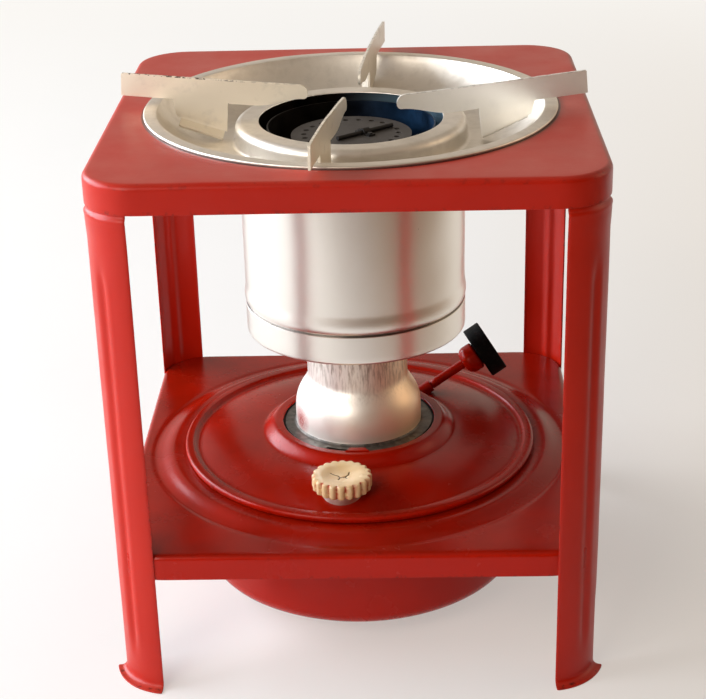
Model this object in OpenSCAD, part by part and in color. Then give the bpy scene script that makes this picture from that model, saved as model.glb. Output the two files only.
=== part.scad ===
// Table-top wick stove: a square stand of pressed steel, a round tank hung in its shelf, a turned-down
// burner drum over a round wick, a drip pan in the top plate and four sheet pot supports.
// Millimetres. Z up, the feet stand on z = 0 and the burner's axis is the Z axis. -Y is the front.

/* [Stand] */
// Side of the square top plate
plate_w = 240; // [236:1:250]
// Height of the top plate's face above the table
plate_z = 266; // [262:1:280]
// Outer corner radius of the top plate
corner_r = 26; // [22:1:30]
// Depth of the top plate's turned-down skirt
skirt_h = 14.4; // [12:0.2:18]
// Radius of the bend between a plate's face and its skirt
bend_r = 3; // [2:0.5:4]
// Thickness of the steel sheet of the stand and the tank
sheet_t = 0.8; // [0.6:0.1:1]
// Height of the shelf's face above the table
shelf_z = 76.7; // [72:0.5:80]
// Depth of the shelf's turned-down skirt
shelf_skirt_h = 13.4; // [10:0.2:16]
// Outer radius of the step that raises the shelf round the tank
step_r = 108.5; // [106:0.5:110]
// Height of that step
step_h = 3; // [2:0.5:4]
// Angle that a leg's rounded section covers
leg_arc = 72; // [60:1:80]
// Radius of the outward curl at the leg's foot
foot_curl = 3; // [2.5:0.5:5]
// Width of the flat lip that stands on the table
foot_flat = 1.5; // [1:0.1:2.5]
// How far the leg's shoulder swells past the skirt
shoulder_out = 0.3; // [0:0.1:0.8]
// Radius of the groove pressed down the leg's corner
groove_r = 3; // [2:0.5:4]
// Depth of that groove
groove_depth = 1; // [0.5:0.1:1.4]

/* [Tank] */
// Outer radius of the tank's bowl
tank_r = 86.5; // [82:0.5:88]
// Height of the tank's underside above the table
tank_base_z = 13.5; // [9:0.5:16]
// Radius of the bowl's bottom edge
tank_edge_r = 8; // [5:1:14]
// Outer radius of the rolled seam
seam_r = 94.5; // [92:0.5:96]
// Height of the rolled seam
seam_h = 3.4; // [2.8:0.2:4.4]
// Depth of the groove just inside the seam
seam_groove = 1.6; // [1:0.2:2.2]
// Rise of the domed top from the seam's groove to the boss
dome_h = 5.6; // [4:0.2:7]
// Outer radius of the raised boss round the burner
boss_r = 52.5; // [51:0.5:55]
// Height of that boss over the dome
boss_h = 5.4; // [4.6:0.2:6.5]
// Radius of the opening that the burner drops into
mouth_r = 40.8; // [40.4:0.1:41.6]
// Width of a bayonet tab
tab_w = 9.4; // [7:0.2:10]
// How far a bayonet tab reaches into the opening
tab_in = 3; // [2:0.5:3.5]

/* [Burner] */
// Wall of the aluminium burner sheets
alu_t = 0.7; // [0.5:0.1:0.9]
// Outer radius of the bell's flange
flange_r = 39.8; // [39.2:0.1:40.2]
// Outer radius of the bell at its foot
bell_r = 33.8; // [32:0.2:35]
// Height of the bell from its flange to the straight neck
bell_h = 29; // [24:1:34]
// Height of the bell and its neck above the flange
neck_h = 74; // [66:1:80]
// Outer radius of the drum
drum_r = 57.4; // [56:0.2:57.6]
// Outer radius of the drum's lower band
band_r = 57.6; // [57:0.1:58]
// Height of the drum's lower band
band_h = 15.4; // [12:0.2:20]
// How far the rolled bead stands out above the band
bead_out = 0.8; // [0.6:0.1:1.8]
// Height of that bead
bead_h = 8; // [6:0.5:12]
// Outer radius of the outer flame tube
outer_flame_r = 42.6; // [41:0.2:44]
// Outer radius of the inner flame tube
inner_flame_r = 29; // [27:0.5:30]
// Length of the inner flame tube's narrow foot
flame_foot_h = 12; // [11:0.5:18]
// Radius of the air holes in the flame tubes
flame_hole_r = 1.6; // [1:0.1:2]
// Rows of air holes in a flame tube
flame_rows = 4; // [2:1:5]
// Air holes in each row
flame_row_holes = 16; // [10:2:20]
// Height of the outer flame tube's rim below the pan's collar
flame_rim_drop = 3.6; // [2.5:0.2:8]
// Height of the spreader's seat below the pan's collar
spreader_drop = 10; // [8:0.5:14]
// Radius of the flame spreader
spreader_r = 30.6; // [29.5:0.2:31]
// Radius of the ring of holes in the spreader
spreader_ring_r = 24; // [20:0.5:25]
// Holes in the spreader
spreader_holes = 22; // [12:1:24]
// Radius of those holes
spreader_hole_r = 1.5; // [0.8:0.1:1.8]

/* [Wick] */
// Outer radius of the central air tube
air_tube_r = 19.4; // [18:0.2:19.8]
// Inner radius of the wick
wick_in_r = 20; // [19.9:0.1:20.4]
// Thickness of the wick
wick_t = 3.3; // [2.8:0.1:3.4]
// Length of the wick
wick_len = 144; // [130:1:146]
// Travel of the wick
wick_travel = 12; // [6:1:12]
// Teeth of the pinion that drives the wick
pinion_teeth = 12; // [12:1:12]
// Pitch radius of the pinion
pinion_r = 5.4; // [5.3:0.05:5.5]
// Thickness of the pinion
pinion_t = 3; // [2:0.5:4]
// Angle of the spindle above the horizontal
spindle_tilt = 31; // [29:1:33]
// Direction of the spindle seen from above, from +X towards +Y
spindle_az = 12.4; // [8:0.2:16]
// Height at which the spindle passes the wick
spindle_z = 62.4; // [61:0.2:64]
// Radius of the spindle in its gland
spindle_r = 2; // [1.8:0.1:2.1]
// Radius of the spindle outside the gland
stem_r = 2.5; // [2.3:0.1:2.8]
// Length of the spindle from the pinion to the knob's inner face
spindle_len = 87.6; // [84:0.2:92]
// Radius of the knob
knob_r = 15; // [12:0.5:16]
// Thickness of the knob
knob_t = 9.6; // [8:0.1:11]
// Radius of the knob's ball-shaped hub
hub_r = 8; // [6.6:0.2:9]
// Length of the knob's hub
hub_len = 10; // [8:0.2:12]
// Outer radius of the spindle's gland
gland_r = 3.4; // [3.2:0.1:3.6]

/* [Pan] */
// Radius of the pan's lip
lip_r = 103.5; // [101:0.5:106]
// Width of the lip
lip_w = 7; // [5:0.5:8]
// Height of the rolled lip above the plate
lip_h = 1.6; // [1.4:0.1:2]
// Depth of the pan's floor below the lip
pan_depth = 18.2; // [16:0.2:20]
// Radius at which the pan's floor starts to curve up
floor_r = 70; // [68:0.5:74]
// Outer radius of the raised collar over the drum
collar_r = 58.6; // [58.4:0.1:60]
// Height of the collar above the pan's floor
collar_h = 11; // [9:0.2:12]
// Radius of the collar's rounded top edge
collar_edge_r = 4; // [3:0.5:5]
// Radius of the flame hole in the collar
flame_hole_mouth_r = 46.4; // [45:0.2:48]

/* [Pot supports] */
// Thickness of the support's sheet
support_t = 1.3; // [1:0.1:1.6]
// Distance of the support's outer end from the axis
support_out_r = 118; // [114:0.5:122]
// Distance of the support's nose from the axis
support_nose_r = 23.2; // [22:0.2:28]
// Height of the support's arm
arm_h = 11.6; // [9:0.2:14]
// Height of the arm at its nose
nose_h = 7.2; // [5:0.2:8]
// Distance from the axis at which the deep part of the support begins
deep_in_r = 63.5; // [62:0.5:66]
// Distance from the axis at which the deep part ends
deep_out_r = 90; // [88:0.5:91]
// Width of the foot flange
foot_w = 6; // [4:0.5:8]
// Direction of each support seen from above, from +X towards +Y
support_az = [6.5, 82.5, 176, 262];
// Distance of each support's sheet from the line that runs out of the axis in that direction
support_shift = [-20, 0, 0, 0];
// How far each support is bent up at its outer end, in degrees
support_tilt = [5, 2.5, 4, 2.5];

/* [Filler] */
// Distance of the filler from the burner's axis
filler_dist = 72; // [70:0.2:73]
// Direction of the filler seen from above
filler_az = -95.8; // [-110:0.1:-80]
// Outer radius of the filler neck
filler_r = 10.3; // [9:0.1:10.8]
// Height of the filler neck's rim above the tank's boss
filler_rim = -1.6; // [-2.2:0.1:-0.5]
// Outer radius of the cap
cap_r = 15.2; // [14:0.2:16]
// Height of the cap
cap_h = 7.5; // [7:0.1:9]
// Scallops round the cap
cap_scallops = 20; // [12:1:24]
// Depth of the dish in the cap's top
cap_dish = 1.2; // [0.6:0.1:1.6]
// Thickness of the cap's seal
seal_t = 1.8; // [1.2:0.1:2.2]

/* [Clearances] */
// Gap between pressed sheets that are welded or crimped together
fit_gap = 0.1; // [0.05:0.01:0.15]
// Gap between parts that move or lift apart
run_gap = 0.3; // [0.25:0.01:0.35]
// Gap between the spindle and its bearing
bearing_gap = 0.05; // [0.02:0.01:0.08]
// Gap round the pan where it drops into the top plate
pan_gap = 1.3; // [0.8:0.1:2]

/* [Hidden] */
$fn = 96;
// Overlap that joins two shapes of one piece
eps = 0.01;
// How far a cut runs past the face that it opens
past = 1;

// Stand
corner_at = plate_w / 2 - corner_r;
leg_r = corner_r - fit_gap;
leg_top_r = leg_r - sheet_t;
leg_top_z = plate_z - bend_r;
skirt_z = plate_z - skirt_h;
shoulder_h = 18;
shoulder_end = 4;
shoulder_roll = 1.4;
shoulder_roll_drop = 2.4;
leg_neck_drop = 0.6;
groove_ends = 17;
shelf_corner_r = leg_r - sheet_t - fit_gap;
plateau_z = shelf_z + step_h;

// Tank
seam_z = plateau_z + fit_gap;
seam_top_z = seam_z + seam_h;
seam_w = 4.8;
seam_groove_w = 3;
seam_in_r = seam_r - seam_w;
dome_edge_r = seam_in_r - seam_groove_w;
dome_z = seam_top_z - seam_groove;
boss_foot_z = dome_z + dome_h;
boss_z = boss_foot_z + boss_h;
boss_top_r = 44.5;
tabs = 2;
tab_az = -90;
seat_z = boss_z - sheet_t - 2 * run_gap - alu_t;
seat_rim_w = 2.6;
seat_rim_r = mouth_r + seat_rim_w;

// Tubes round the wick
wick_out_r = wick_in_r + wick_t;
carrier_t = 0.6;
carrier_in_r = wick_out_r + run_gap;
carrier_r = carrier_in_r + carrier_t;
carrier_gap = 0.5;
wick_tube_in_r = carrier_r + carrier_gap;
wick_tube_r = wick_tube_in_r + alu_t;

// Burner
flange_z = seat_z + run_gap + alu_t;
neck_gap = 0.3;
neck_r = wick_tube_r + run_gap + neck_gap + alu_t;
neck_top_z = flange_z + neck_h;
gallery_z = neck_top_z + fit_gap + alu_t;
gallery_rise = 1.9;
band_z = gallery_z - gallery_rise - band_h;
crease_z = band_z + band_h;
notch_play = 2.6;
notch_w = tab_w + notch_play;
unlock_turn = 16;

// Wick and its drive
wick_tube_rise = 6.6;
wick_drop = 2;
wick_tube_top_z = neck_top_z + wick_tube_rise;
wick_top_z = wick_tube_top_z - wick_drop;
tooth_pitch = 2 * PI * pinion_r / pinion_teeth;
tooth_out = 0.72;
tooth_in = 1.05;
tooth_foot = 0.3;
tooth_sink = 0.2;
tooth_blunt = 0.15;
tooth_root_w = 0.62 * tooth_pitch;
tooth_tip_w = 0.22 * tooth_pitch;
rack_wall = 0.4;
rack_face = carrier_r + rack_wall;
rack_w = 6;
spindle_off = rack_face + tooth_in + pinion_r;
rack_step = tooth_pitch / cos(spindle_tilt);
rack_up = 2;
rack_down = ceil(wick_travel / rack_step) + rack_up;
rack_top_z = spindle_z + (rack_up + 0.5) * rack_step;
rack_base_z = spindle_z - (rack_down + 0.5) * rack_step;
gland_in = 30;
gland_out = 54.5;
packing_len = 4;
gland_wall = 0.7;
packing_r = gland_r - gland_wall;
plug_head = 1.5;
plug_spigot = 1.5;
stem_from = gland_out + plug_head + run_gap;
spindle_tail = 4;
knob_crown_t = 1;

// Pan and pot supports
lip_z = plate_z + lip_h;
floor_z = lip_z - pan_depth;
collar_z = floor_z + collar_h;
wall_r = lip_r - lip_w;
pan_edge_drop = 1;
wall_drop = pan_depth - pan_edge_drop;
wall_arc_r = (pow(wall_r - floor_r, 2) + pow(wall_drop, 2)) / (2 * wall_drop);
wall_end_a = asin((wall_r - floor_r) / wall_arc_r);
support_z = lip_z + fit_gap;
support_top_z = support_z + arm_h;
nose_top_r = 4.6;
nose_under_r = 2.2;
arm_knee_r = 50;
arm_under_drop = 0.5;
deep_corner = 3;
deep_lean = 0.4;
deep_flare = 1;
foot_bend_rise = 0.3;
foot_inset = 1.5;
collar_bend_r = collar_edge_r - alu_t - run_gap;
drum_corner = max(0, drum_r - collar_r + collar_edge_r);
drum_top_z = collar_z - collar_edge_r + sqrt(max(0, pow(collar_bend_r, 2) - pow(drum_corner, 2)));
outer_flame_top_z = collar_z - flame_rim_drop;
spreader_z = collar_z - spreader_drop;
air_tube_rise = 2;
flame_foot_z = wick_tube_top_z + air_tube_rise;
flame_cone_z = flame_foot_z + run_gap + flame_foot_h;
flame_cone_h = inner_flame_r - air_tube_r;
pin_r = 1.5;
pin_drop = 14;
pin_z = spreader_z - pin_drop;
pin_apart = 1;

// Flame spreader
spreader_t = 1;
rod_r = 1.1;
rod_len = 35;
rod_at = [7, -1];
rod_az = 39;
strap_len = 11.5;
strap_w = 4;
strap_t = 0.8;
rivet_gap = 8;
rivet_r = 0.8;
rivet_head_r = 1.3;
rivet_head_h = 0.7;
spigot_h = 4;
spreader_top_z = spreader_z + run_gap + spreader_t;

// Filler
filler_x = filler_dist * cos(filler_az);
filler_y = filler_dist * sin(filler_az);
filler_rim_z = boss_z + filler_rim;
filler_t = 0.8;
seal_z = filler_rim_z + run_gap;
cap_bore_r = filler_r + run_gap;
cap_crown_t = 1;
cap_top_z = seal_z + seal_t + run_gap + cap_dish + cap_crown_t;

// Path and outline helpers
function backwards(p) = [for (i = [len(p) - 1 : -1 : 0]) p[i]];
function unit(v) = v / norm(v);
function left_of(v) = [-v[1], v[0]];
function step_before(p, i) = left_of(unit(p[max(i, 1)] - p[max(i, 1) - 1]));
function step_after(p, i) = left_of(unit(p[min(i, len(p) - 2) + 1] - p[min(i, len(p) - 2)]));
function corner_normal(a, b) = (a + b) / (1 + a * b);
function beside(p, t) =
    [for (i = [0 : len(p) - 1]) p[i] + t * corner_normal(step_before(p, i), step_after(p, i))];
// Outline of a sheet: p is its outer face, and the wall lies to the left of p's direction
function sheet(p, t) = concat(p, backwards(beside(p, t)));
function arc(c, r, a0, a1, n = 6) =
    [for (i = [0 : n]) c + r * [cos(a0 + (a1 - a0) * i / n), sin(a0 + (a1 - a0) * i / n)]];
function ease(u) = (1 - cos(180 * u)) / 2;
// Smooth S from point a to point b, upright at both ends; a lean over 1 keeps it near a for longer
function s_curve(a, b, n = 8, lean = 1) = [for (i = [0 : n]) [a[0] + (b[0] - a[0]) * ease(pow(i / n, lean)),
    a[1] + (b[1] - a[1]) * i / n]];

module spun(path, t) {
    rotate_extrude()
        polygon(sheet(path, t));
}

// Square tray with a turned-down skirt, its face at z = 0
module tray(half, r, drop) {
    side = half - r;
    path = concat([[r, -drop]], arc([r - bend_r, -bend_r], bend_r, 0, 90), [[0, 0]]);
    for (i = [0 : 3])
        rotate([0, 0, 90 * i]) {
            translate([side, side, 0])
                rotate_extrude(angle = 90)
                    polygon(sheet(path, sheet_t));
            translate([side, side, 0])
                rotate([90, 0, 0])
                    linear_extrude(2 * side)
                        polygon(sheet(path, sheet_t));
        }
    translate([-side, -side, -sheet_t])
        cube([2 * side, 2 * side, sheet_t]);
}

// Stand
module top_plate() {
    color("firebrick")
        difference() {
            translate([0, 0, plate_z])
                tray(plate_w / 2, corner_r, skirt_h);
            translate([0, 0, plate_z - skirt_h])
                cylinder(r = wall_r + pan_gap, h = 2 * skirt_h);
        }
}

// Capsule that presses the groove
module groove_tool(r) {
    height = skirt_z - shoulder_h - 2 * groove_ends;
    translate([leg_r + groove_r - groove_depth, 0, groove_ends]) {
        cylinder(r = r, h = height);
        sphere(r = r);
        translate([0, 0, height])
            sphere(r = r);
    }
}

// Leg: a rounded sheet section round the corner's centre, its corner towards +X
module leg() {
    swell_r = corner_r + shoulder_out;
    path = concat(
        [[leg_r + foot_curl + foot_flat, sheet_t]],
        arc([leg_r + foot_curl, sheet_t + foot_curl], foot_curl, 270, 180),
        s_curve([leg_r, skirt_z - shoulder_h], [swell_r, skirt_z - shoulder_end], 6),
        arc([swell_r - shoulder_roll, skirt_z - shoulder_roll_drop], shoulder_roll, 20, 80, 3),
        [[leg_top_r, skirt_z - leg_neck_drop], [leg_top_r, leg_top_z]]);
    difference() {
        union() {
            rotate([0, 0, -leg_arc / 2])
                rotate_extrude(angle = leg_arc)
                    polygon(sheet(path, sheet_t));
            intersection() {
                groove_tool(groove_r + sheet_t);
                cylinder(r = leg_r - eps, h = skirt_z);
            }
        }
        groove_tool(groove_r);
    }
}

module leg_place(side_x, side_y) {
    translate([side_x * corner_at, side_y * corner_at, 0])
        rotate([0, 0, atan2(side_y, side_x)])
            children();
}

module leg_at(side_x, side_y) {
    color("firebrick")
        leg_place(side_x, side_y)
            leg();
}

module leg_front_left() {
    leg_at(-1, -1);
}

module leg_front_right() {
    leg_at(1, -1);
}

module leg_back_left() {
    leg_at(-1, 1);
}

module leg_back_right() {
    leg_at(1, 1);
}

module shelf_plate() {
    lap = 0.5;
    crest_in = 4;
    crest_r = 1.5;
    tank_gap = 1;
    path = concat([[step_r + lap, 0], [step_r, 0]],
        arc([step_r - crest_in, step_h - crest_r], crest_r, 60, 90, 3), [[tank_r + tank_gap, step_h]]);
    color("firebrick") {
        difference() {
            translate([0, 0, shelf_z])
                tray(corner_at + shelf_corner_r, shelf_corner_r, shelf_skirt_h);
            translate([0, 0, shelf_z - shelf_skirt_h])
                cylinder(r = step_r, h = 2 * shelf_skirt_h);
            for (x = [-1, 1], y = [-1, 1])
                leg_place(x, y)
                    groove_tool(groove_r + sheet_t + fit_gap);
        }
        translate([0, 0, shelf_z])
            spun(path, sheet_t);
    }
}

// Tank
module tank_bowl() {
    rim_z = dome_z - sheet_t - fit_gap;
    path = concat([[air_tube_r + fit_gap, tank_base_z]],
        arc([tank_r - tank_edge_r, tank_base_z + tank_edge_r], tank_edge_r, 270, 360),
        [[tank_r, rim_z - sheet_t], [seam_r - sheet_t - fit_gap, rim_z - sheet_t]]);
    color("firebrick")
        spun(path, sheet_t);
}

function dome_at(r) = dome_z + dome_h * (1 - pow((r - boss_r) / (dome_edge_r - boss_r), 2));

module tank_top() {
    seam_edge = 1.6;
    seam_inner = 1;
    groove_floor_w = 1.6;
    path = concat(
        [[seam_r, seam_z]],
        arc([seam_r - seam_edge, seam_top_z - seam_edge], seam_edge, 0, 90, 5),
        arc([seam_in_r + seam_inner, seam_top_z - seam_inner], seam_inner, 90, 150, 3),
        [[dome_edge_r + groove_floor_w, dome_z]],
        [for (i = [0 : 8]) let(r = dome_edge_r + (boss_r - dome_edge_r) * i / 8) [r, dome_at(r)]],
        [for (i = [1 : 7]) [boss_r + (boss_top_r - boss_r) * i / 7, boss_foot_z + boss_h * ease(i / 7)]],
        [[mouth_r, boss_z]]);
    color("firebrick")
        difference() {
            union() {
                spun(path, sheet_t);
                for (i = [0 : tabs - 1])
                    rotate([0, 0, tab_az + 360 * i / tabs])
                        bayonet_tab();
            }
            on_spindle(0)
                cylinder(r = gland_r + fit_gap, h = gland_out + packing_len);
            translate([filler_x, filler_y, dome_z - sheet_t - past])
                cylinder(r = filler_r + fit_gap, h = dome_h + sheet_t + 2 * past);
        }
}

// Tab that holds the burner's flange down
module bayonet_tab() {
    tab_root = 1;
    intersection() {
        translate([mouth_r - tab_in, -tab_w / 2, boss_z - sheet_t])
            cube([tab_in + 2 * tab_root, tab_w, sheet_t]);
        cylinder(r = mouth_r + tab_root, h = boss_z);
    }
}

module burner_seat() {
    rim_z = boss_z - sheet_t - fit_gap;
    bend_in = 0.7;
    draft = 0.5;
    path = [[seat_rim_r, rim_z], [mouth_r + bend_in, rim_z], [mouth_r + bend_in - draft, seat_z],
        [wick_tube_r + fit_gap, seat_z]];
    color("silver")
        spun(path, sheet_t);
}

module central_air_tube() {
    color("tan")
        translate([0, 0, tank_base_z])
            difference() {
                cylinder(r = air_tube_r, h = flame_foot_z - tank_base_z);
                translate([0, 0, -past])
                    cylinder(r = air_tube_r - alu_t, h = flame_foot_z - tank_base_z + 2 * past);
            }
}

module wick_tube() {
    tube_below = 6;
    slot_end_gap = 1.5;
    slot_side_gap = 1;
    base_z = rack_base_z - tube_below;
    slot_base_z = rack_base_z - slot_end_gap;
    slot_h = rack_top_z + wick_travel + slot_end_gap - slot_base_z;
    color("tan")
        difference() {
            translate([0, 0, base_z])
                cylinder(r = wick_tube_r, h = wick_tube_top_z - base_z);
            translate([0, 0, base_z - past])
                cylinder(r = wick_tube_in_r, h = wick_tube_top_z - base_z + 2 * past);
            rotate([0, 0, spindle_az])
                translate([-rack_w / 2 - slot_side_gap, 0, slot_base_z])
                    cube([rack_w + 2 * slot_side_gap, 2 * wick_tube_r, slot_h]);
        }
}

// Filler
module filler_neck() {
    neck_below = 5;
    base_z = dome_at(filler_dist) - neck_below;
    color("silver")
        translate([filler_x, filler_y, base_z])
            difference() {
                cylinder(r = filler_r, h = filler_rim_z - base_z);
                translate([0, 0, -past])
                    cylinder(r = filler_r - filler_t, h = filler_rim_z - base_z + 2 * past);
            }
}

module cap_seal() {
    color("peru")
        translate([filler_x, filler_y, seal_z])
            cylinder(r = filler_r, h = seal_t);
}

module filler_cap() {
    scallop_r = 0.72 * PI * cap_r / cap_scallops;
    scallop_out = 0.55 * scallop_r;
    chamfer = 1;
    edge_r = 1.2;
    dish_r = cap_r - 3;
    color("ivory")
        translate([filler_x, filler_y, cap_top_z])
            difference() {
                rotate_extrude()
                    polygon(concat([[0, -cap_h], [cap_r - chamfer, -cap_h], [cap_r, chamfer - cap_h]],
                        arc([cap_r - edge_r, -edge_r], edge_r, 0, 90, 4),
                        [[dish_r, 0]],
                        [for (i = [1 : 6]) [dish_r * cos(90 * i / 6), -cap_dish * ease(i / 6)]]));
                for (i = [0 : cap_scallops - 1])
                    rotate([0, 0, 360 * (i + 0.5) / cap_scallops])
                        translate([cap_r + scallop_out, 0, -cap_h - past])
                            cylinder(r = scallop_r, h = cap_h + 2 * past, $fn = 24);
                translate([0, 0, -cap_h - past])
                    cylinder(r = cap_bore_r, h = cap_h + past - cap_dish - cap_crown_t);
            }
}

// Frame with its Z along the spindle, outwards, its Y away from the wick, its origin beside the wick
module on_spindle(along) {
    rotate([0, 0, spindle_az])
        translate([0, spindle_off, spindle_z])
            rotate([0, 90 - spindle_tilt, 0])
                translate([0, 0, along])
                    children();
}

module spindle_gland() {
    bore_r = spindle_r + bearing_gap;
    color("firebrick")
        on_spindle(gland_in)
            difference() {
                cylinder(r = gland_r, h = gland_out - gland_in);
                translate([0, 0, -past])
                    cylinder(r = bore_r, h = gland_out - gland_in + 2 * past);
                translate([0, 0, gland_out - gland_in - plug_spigot - packing_len])
                    cylinder(r = packing_r, h = packing_len + plug_spigot + past);
            }
}

module gland_packing() {
    color("dimgray")
        on_spindle(gland_out - plug_spigot - packing_len)
            difference() {
                cylinder(r = packing_r - bearing_gap, h = packing_len);
                translate([0, 0, -past])
                    cylinder(r = spindle_r + bearing_gap, h = packing_len + 2 * past);
            }
}

module gland_nut() {
    color("firebrick")
        on_spindle(gland_out)
            difference() {
                union() {
                    cylinder(r = gland_r, h = plug_head);
                    translate([0, 0, -plug_spigot])
                        cylinder(r = packing_r - bearing_gap, h = plug_spigot + eps);
                }
                translate([0, 0, -plug_spigot - past])
                    cylinder(r = spindle_r + bearing_gap, h = plug_spigot + plug_head + 2 * past);
            }
}

// Pan
module drip_pan() {
    roll = 0.8;
    lip_edge = 1.2;
    foot_bend = 2;
    centre = [floor_r, floor_z + wall_arc_r];
    path = concat(
        [[lip_r, plate_z + fit_gap]],
        arc([lip_r - roll, lip_z - roll], roll, 0, 90, 3),
        [[wall_r + lip_edge, lip_z]],
        arc(centre, wall_arc_r, wall_end_a - 90, -90, 10),
        arc([collar_r + foot_bend, floor_z + foot_bend], foot_bend, 270, 180, 4),
        arc([collar_r - collar_edge_r, collar_z - collar_edge_r], collar_edge_r, 0, 90, 6),
        [[flame_hole_mouth_r, collar_z]]);
    color("lightgray")
        spun(path, alu_t);
}

function pan_floor_at(r) = r <= floor_r ? floor_z
    : floor_z + wall_arc_r - sqrt(pow(wall_arc_r, 2) - pow(r - floor_r, 2));

// Line along the pan's inside from x = a out to x = b, at distance y from the axis and clear of the pan
function on_pan(a, b, y, gap) = beside([for (i = [0 : 6]) let(x = a + (b - a) * i / 6)
    [x, pan_floor_at(norm([x, y]))]], gap);

// Side view of a pot support, from its nose out along X, with its sheet's far face at distance y
function support_outline(y) = concat(
    [[support_out_r, support_z], [support_out_r, support_top_z]],
    arc([support_nose_r + nose_top_r, support_top_z - nose_top_r], nose_top_r, 90, 180, 4),
    arc([support_nose_r + nose_under_r, support_top_z - nose_h + nose_under_r], nose_under_r, 180, 270, 3),
    [[arm_knee_r, support_z - arm_under_drop], [deep_in_r, support_z - arm_under_drop]],
    on_pan(deep_in_r, deep_out_r - deep_corner, y, fit_gap + foot_bend_rise),
    [[deep_out_r, pan_floor_at(norm([deep_out_r, y])) + deep_corner],
        [deep_out_r + deep_lean, support_z - deep_corner],
        [deep_out_r + deep_lean + deep_flare, support_z]]);

// Support number i, bent up about the inner end of its foot
module pot_support(i) {
    shift = support_shift[i];
    foot_in_r = deep_in_r + foot_inset;
    foot_out_r = deep_out_r - deep_corner;
    foot_reach = norm([foot_out_r, abs(shift) + foot_w]);
    color("wheat")
        rotate([0, 0, support_az[i]])
            translate([deep_in_r, 0, floor_z])
                rotate([0, -support_tilt[i], 0])
                    translate([-deep_in_r, 0, -floor_z]) {
                        translate([0, shift + support_t / 2, 0])
                            rotate([90, 0, 0])
                                linear_extrude(support_t)
                                    polygon(support_outline(abs(shift) + support_t / 2));
                        intersection() {
                            translate([foot_in_r, shift, floor_z])
                                cube([foot_out_r - foot_in_r, foot_w, support_z - floor_z]);
                            rotate_extrude()
                                polygon(sheet(on_pan(foot_in_r - past, foot_reach + past, 0, fit_gap),
                                    support_t));
                        }
                    }
}

module pot_support_right() {
    pot_support(0);
}

module pot_support_back() {
    pot_support(1);
}

module pot_support_left() {
    pot_support(2);
}

module pot_support_front() {
    pot_support(3);
}

// Burner
module burner_bell() {
    foot_bend = 1.5;
    waist_start = 2.4;
    shoulder_lean = 2.1;
    path = concat(
        [[flange_r, flange_z]],
        arc([bell_r + foot_bend, flange_z + foot_bend], foot_bend, 270, 180, 4),
        s_curve([bell_r, flange_z + waist_start], [neck_r, flange_z + bell_h], 10, shoulder_lean),
        [[neck_r, neck_top_z]]);
    color("gainsboro")
        difference() {
            spun(path, alu_t);
            for (i = [0 : tabs - 1])
                rotate([0, 0, tab_az - unlock_turn + 360 * i / tabs])
                    translate([mouth_r - tab_in - run_gap, -notch_w / 2, seat_z])
                        cube([tab_in + run_gap + 2 * past, notch_w, boss_z - seat_z]);
        }
}

module ring_of(count, r, hole_r, z, h) {
    for (i = [0 : count - 1])
        rotate([0, 0, 360 * i / count])
            translate([r, 0, z])
                cylinder(r = hole_r, h = h, $fn = 24);
}

module gallery_plate() {
    edge_gap = 0.7;
    air_holes = 24;
    air_hole_r = 2.6;
    gap_holes = 18;
    gap_hole_r = 2.4;
    outer_r = band_r - alu_t - edge_gap;
    air_r = (outer_flame_r + outer_r) / 2;
    gap_r = (neck_r + outer_flame_r) / 2;
    color("silver")
        translate([0, 0, gallery_z - alu_t])
            difference() {
                cylinder(r = outer_r, h = alu_t);
                translate([0, 0, -past])
                    cylinder(r = wick_tube_r + run_gap, h = alu_t + 2 * past);
                ring_of(air_holes, air_r, air_hole_r, -past, alu_t + 2 * past);
                ring_of(gap_holes, gap_r, gap_hole_r, -past, alu_t + 2 * past);
            }
}

module drum_shell() {
    crease_in = 0.8;
    crease_h = 1;
    crease_r = band_r - crease_in;
    path = concat(
        [[band_r, band_z], [band_r, crease_z - crease_h], [crease_r, crease_z]],
        [for (i = [1 : 8]) let(u = i / 8)
            [drum_r + (crease_r - drum_r) * (1 - u) + bead_out * sin(180 * u), crease_z + bead_h * u]],
        [[drum_r, drum_top_z]]);
    color("gainsboro")
        spun(path, alu_t);
}

// Rows of radial holes between two heights
module flame_holes(r, low, high) {
    reach = 3;
    for (row = [0 : flame_rows - 1])
        for (i = [0 : flame_row_holes - 1])
            rotate([0, 0, 360 * (i + (row % 2) / 2) / flame_row_holes])
                translate([r - reach, 0, low + (high - low) * (row + 0.5) / flame_rows])
                    rotate([0, 90, 0])
                        cylinder(r = flame_hole_r, h = 2 * reach, $fn = 20);
}

module outer_flame_tube() {
    foot_flange = 2.4;
    plain_end = 6;
    foot_z = gallery_z + fit_gap + alu_t;
    path = [[outer_flame_r + foot_flange, foot_z], [outer_flame_r, foot_z],
        [outer_flame_r, outer_flame_top_z]];
    color("steelblue")
        difference() {
            spun(path, alu_t);
            flame_holes(outer_flame_r, foot_z + plain_end, pin_z - plain_end);
            flame_tube_pins_at(pin_r + bearing_gap);
        }
}

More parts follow.
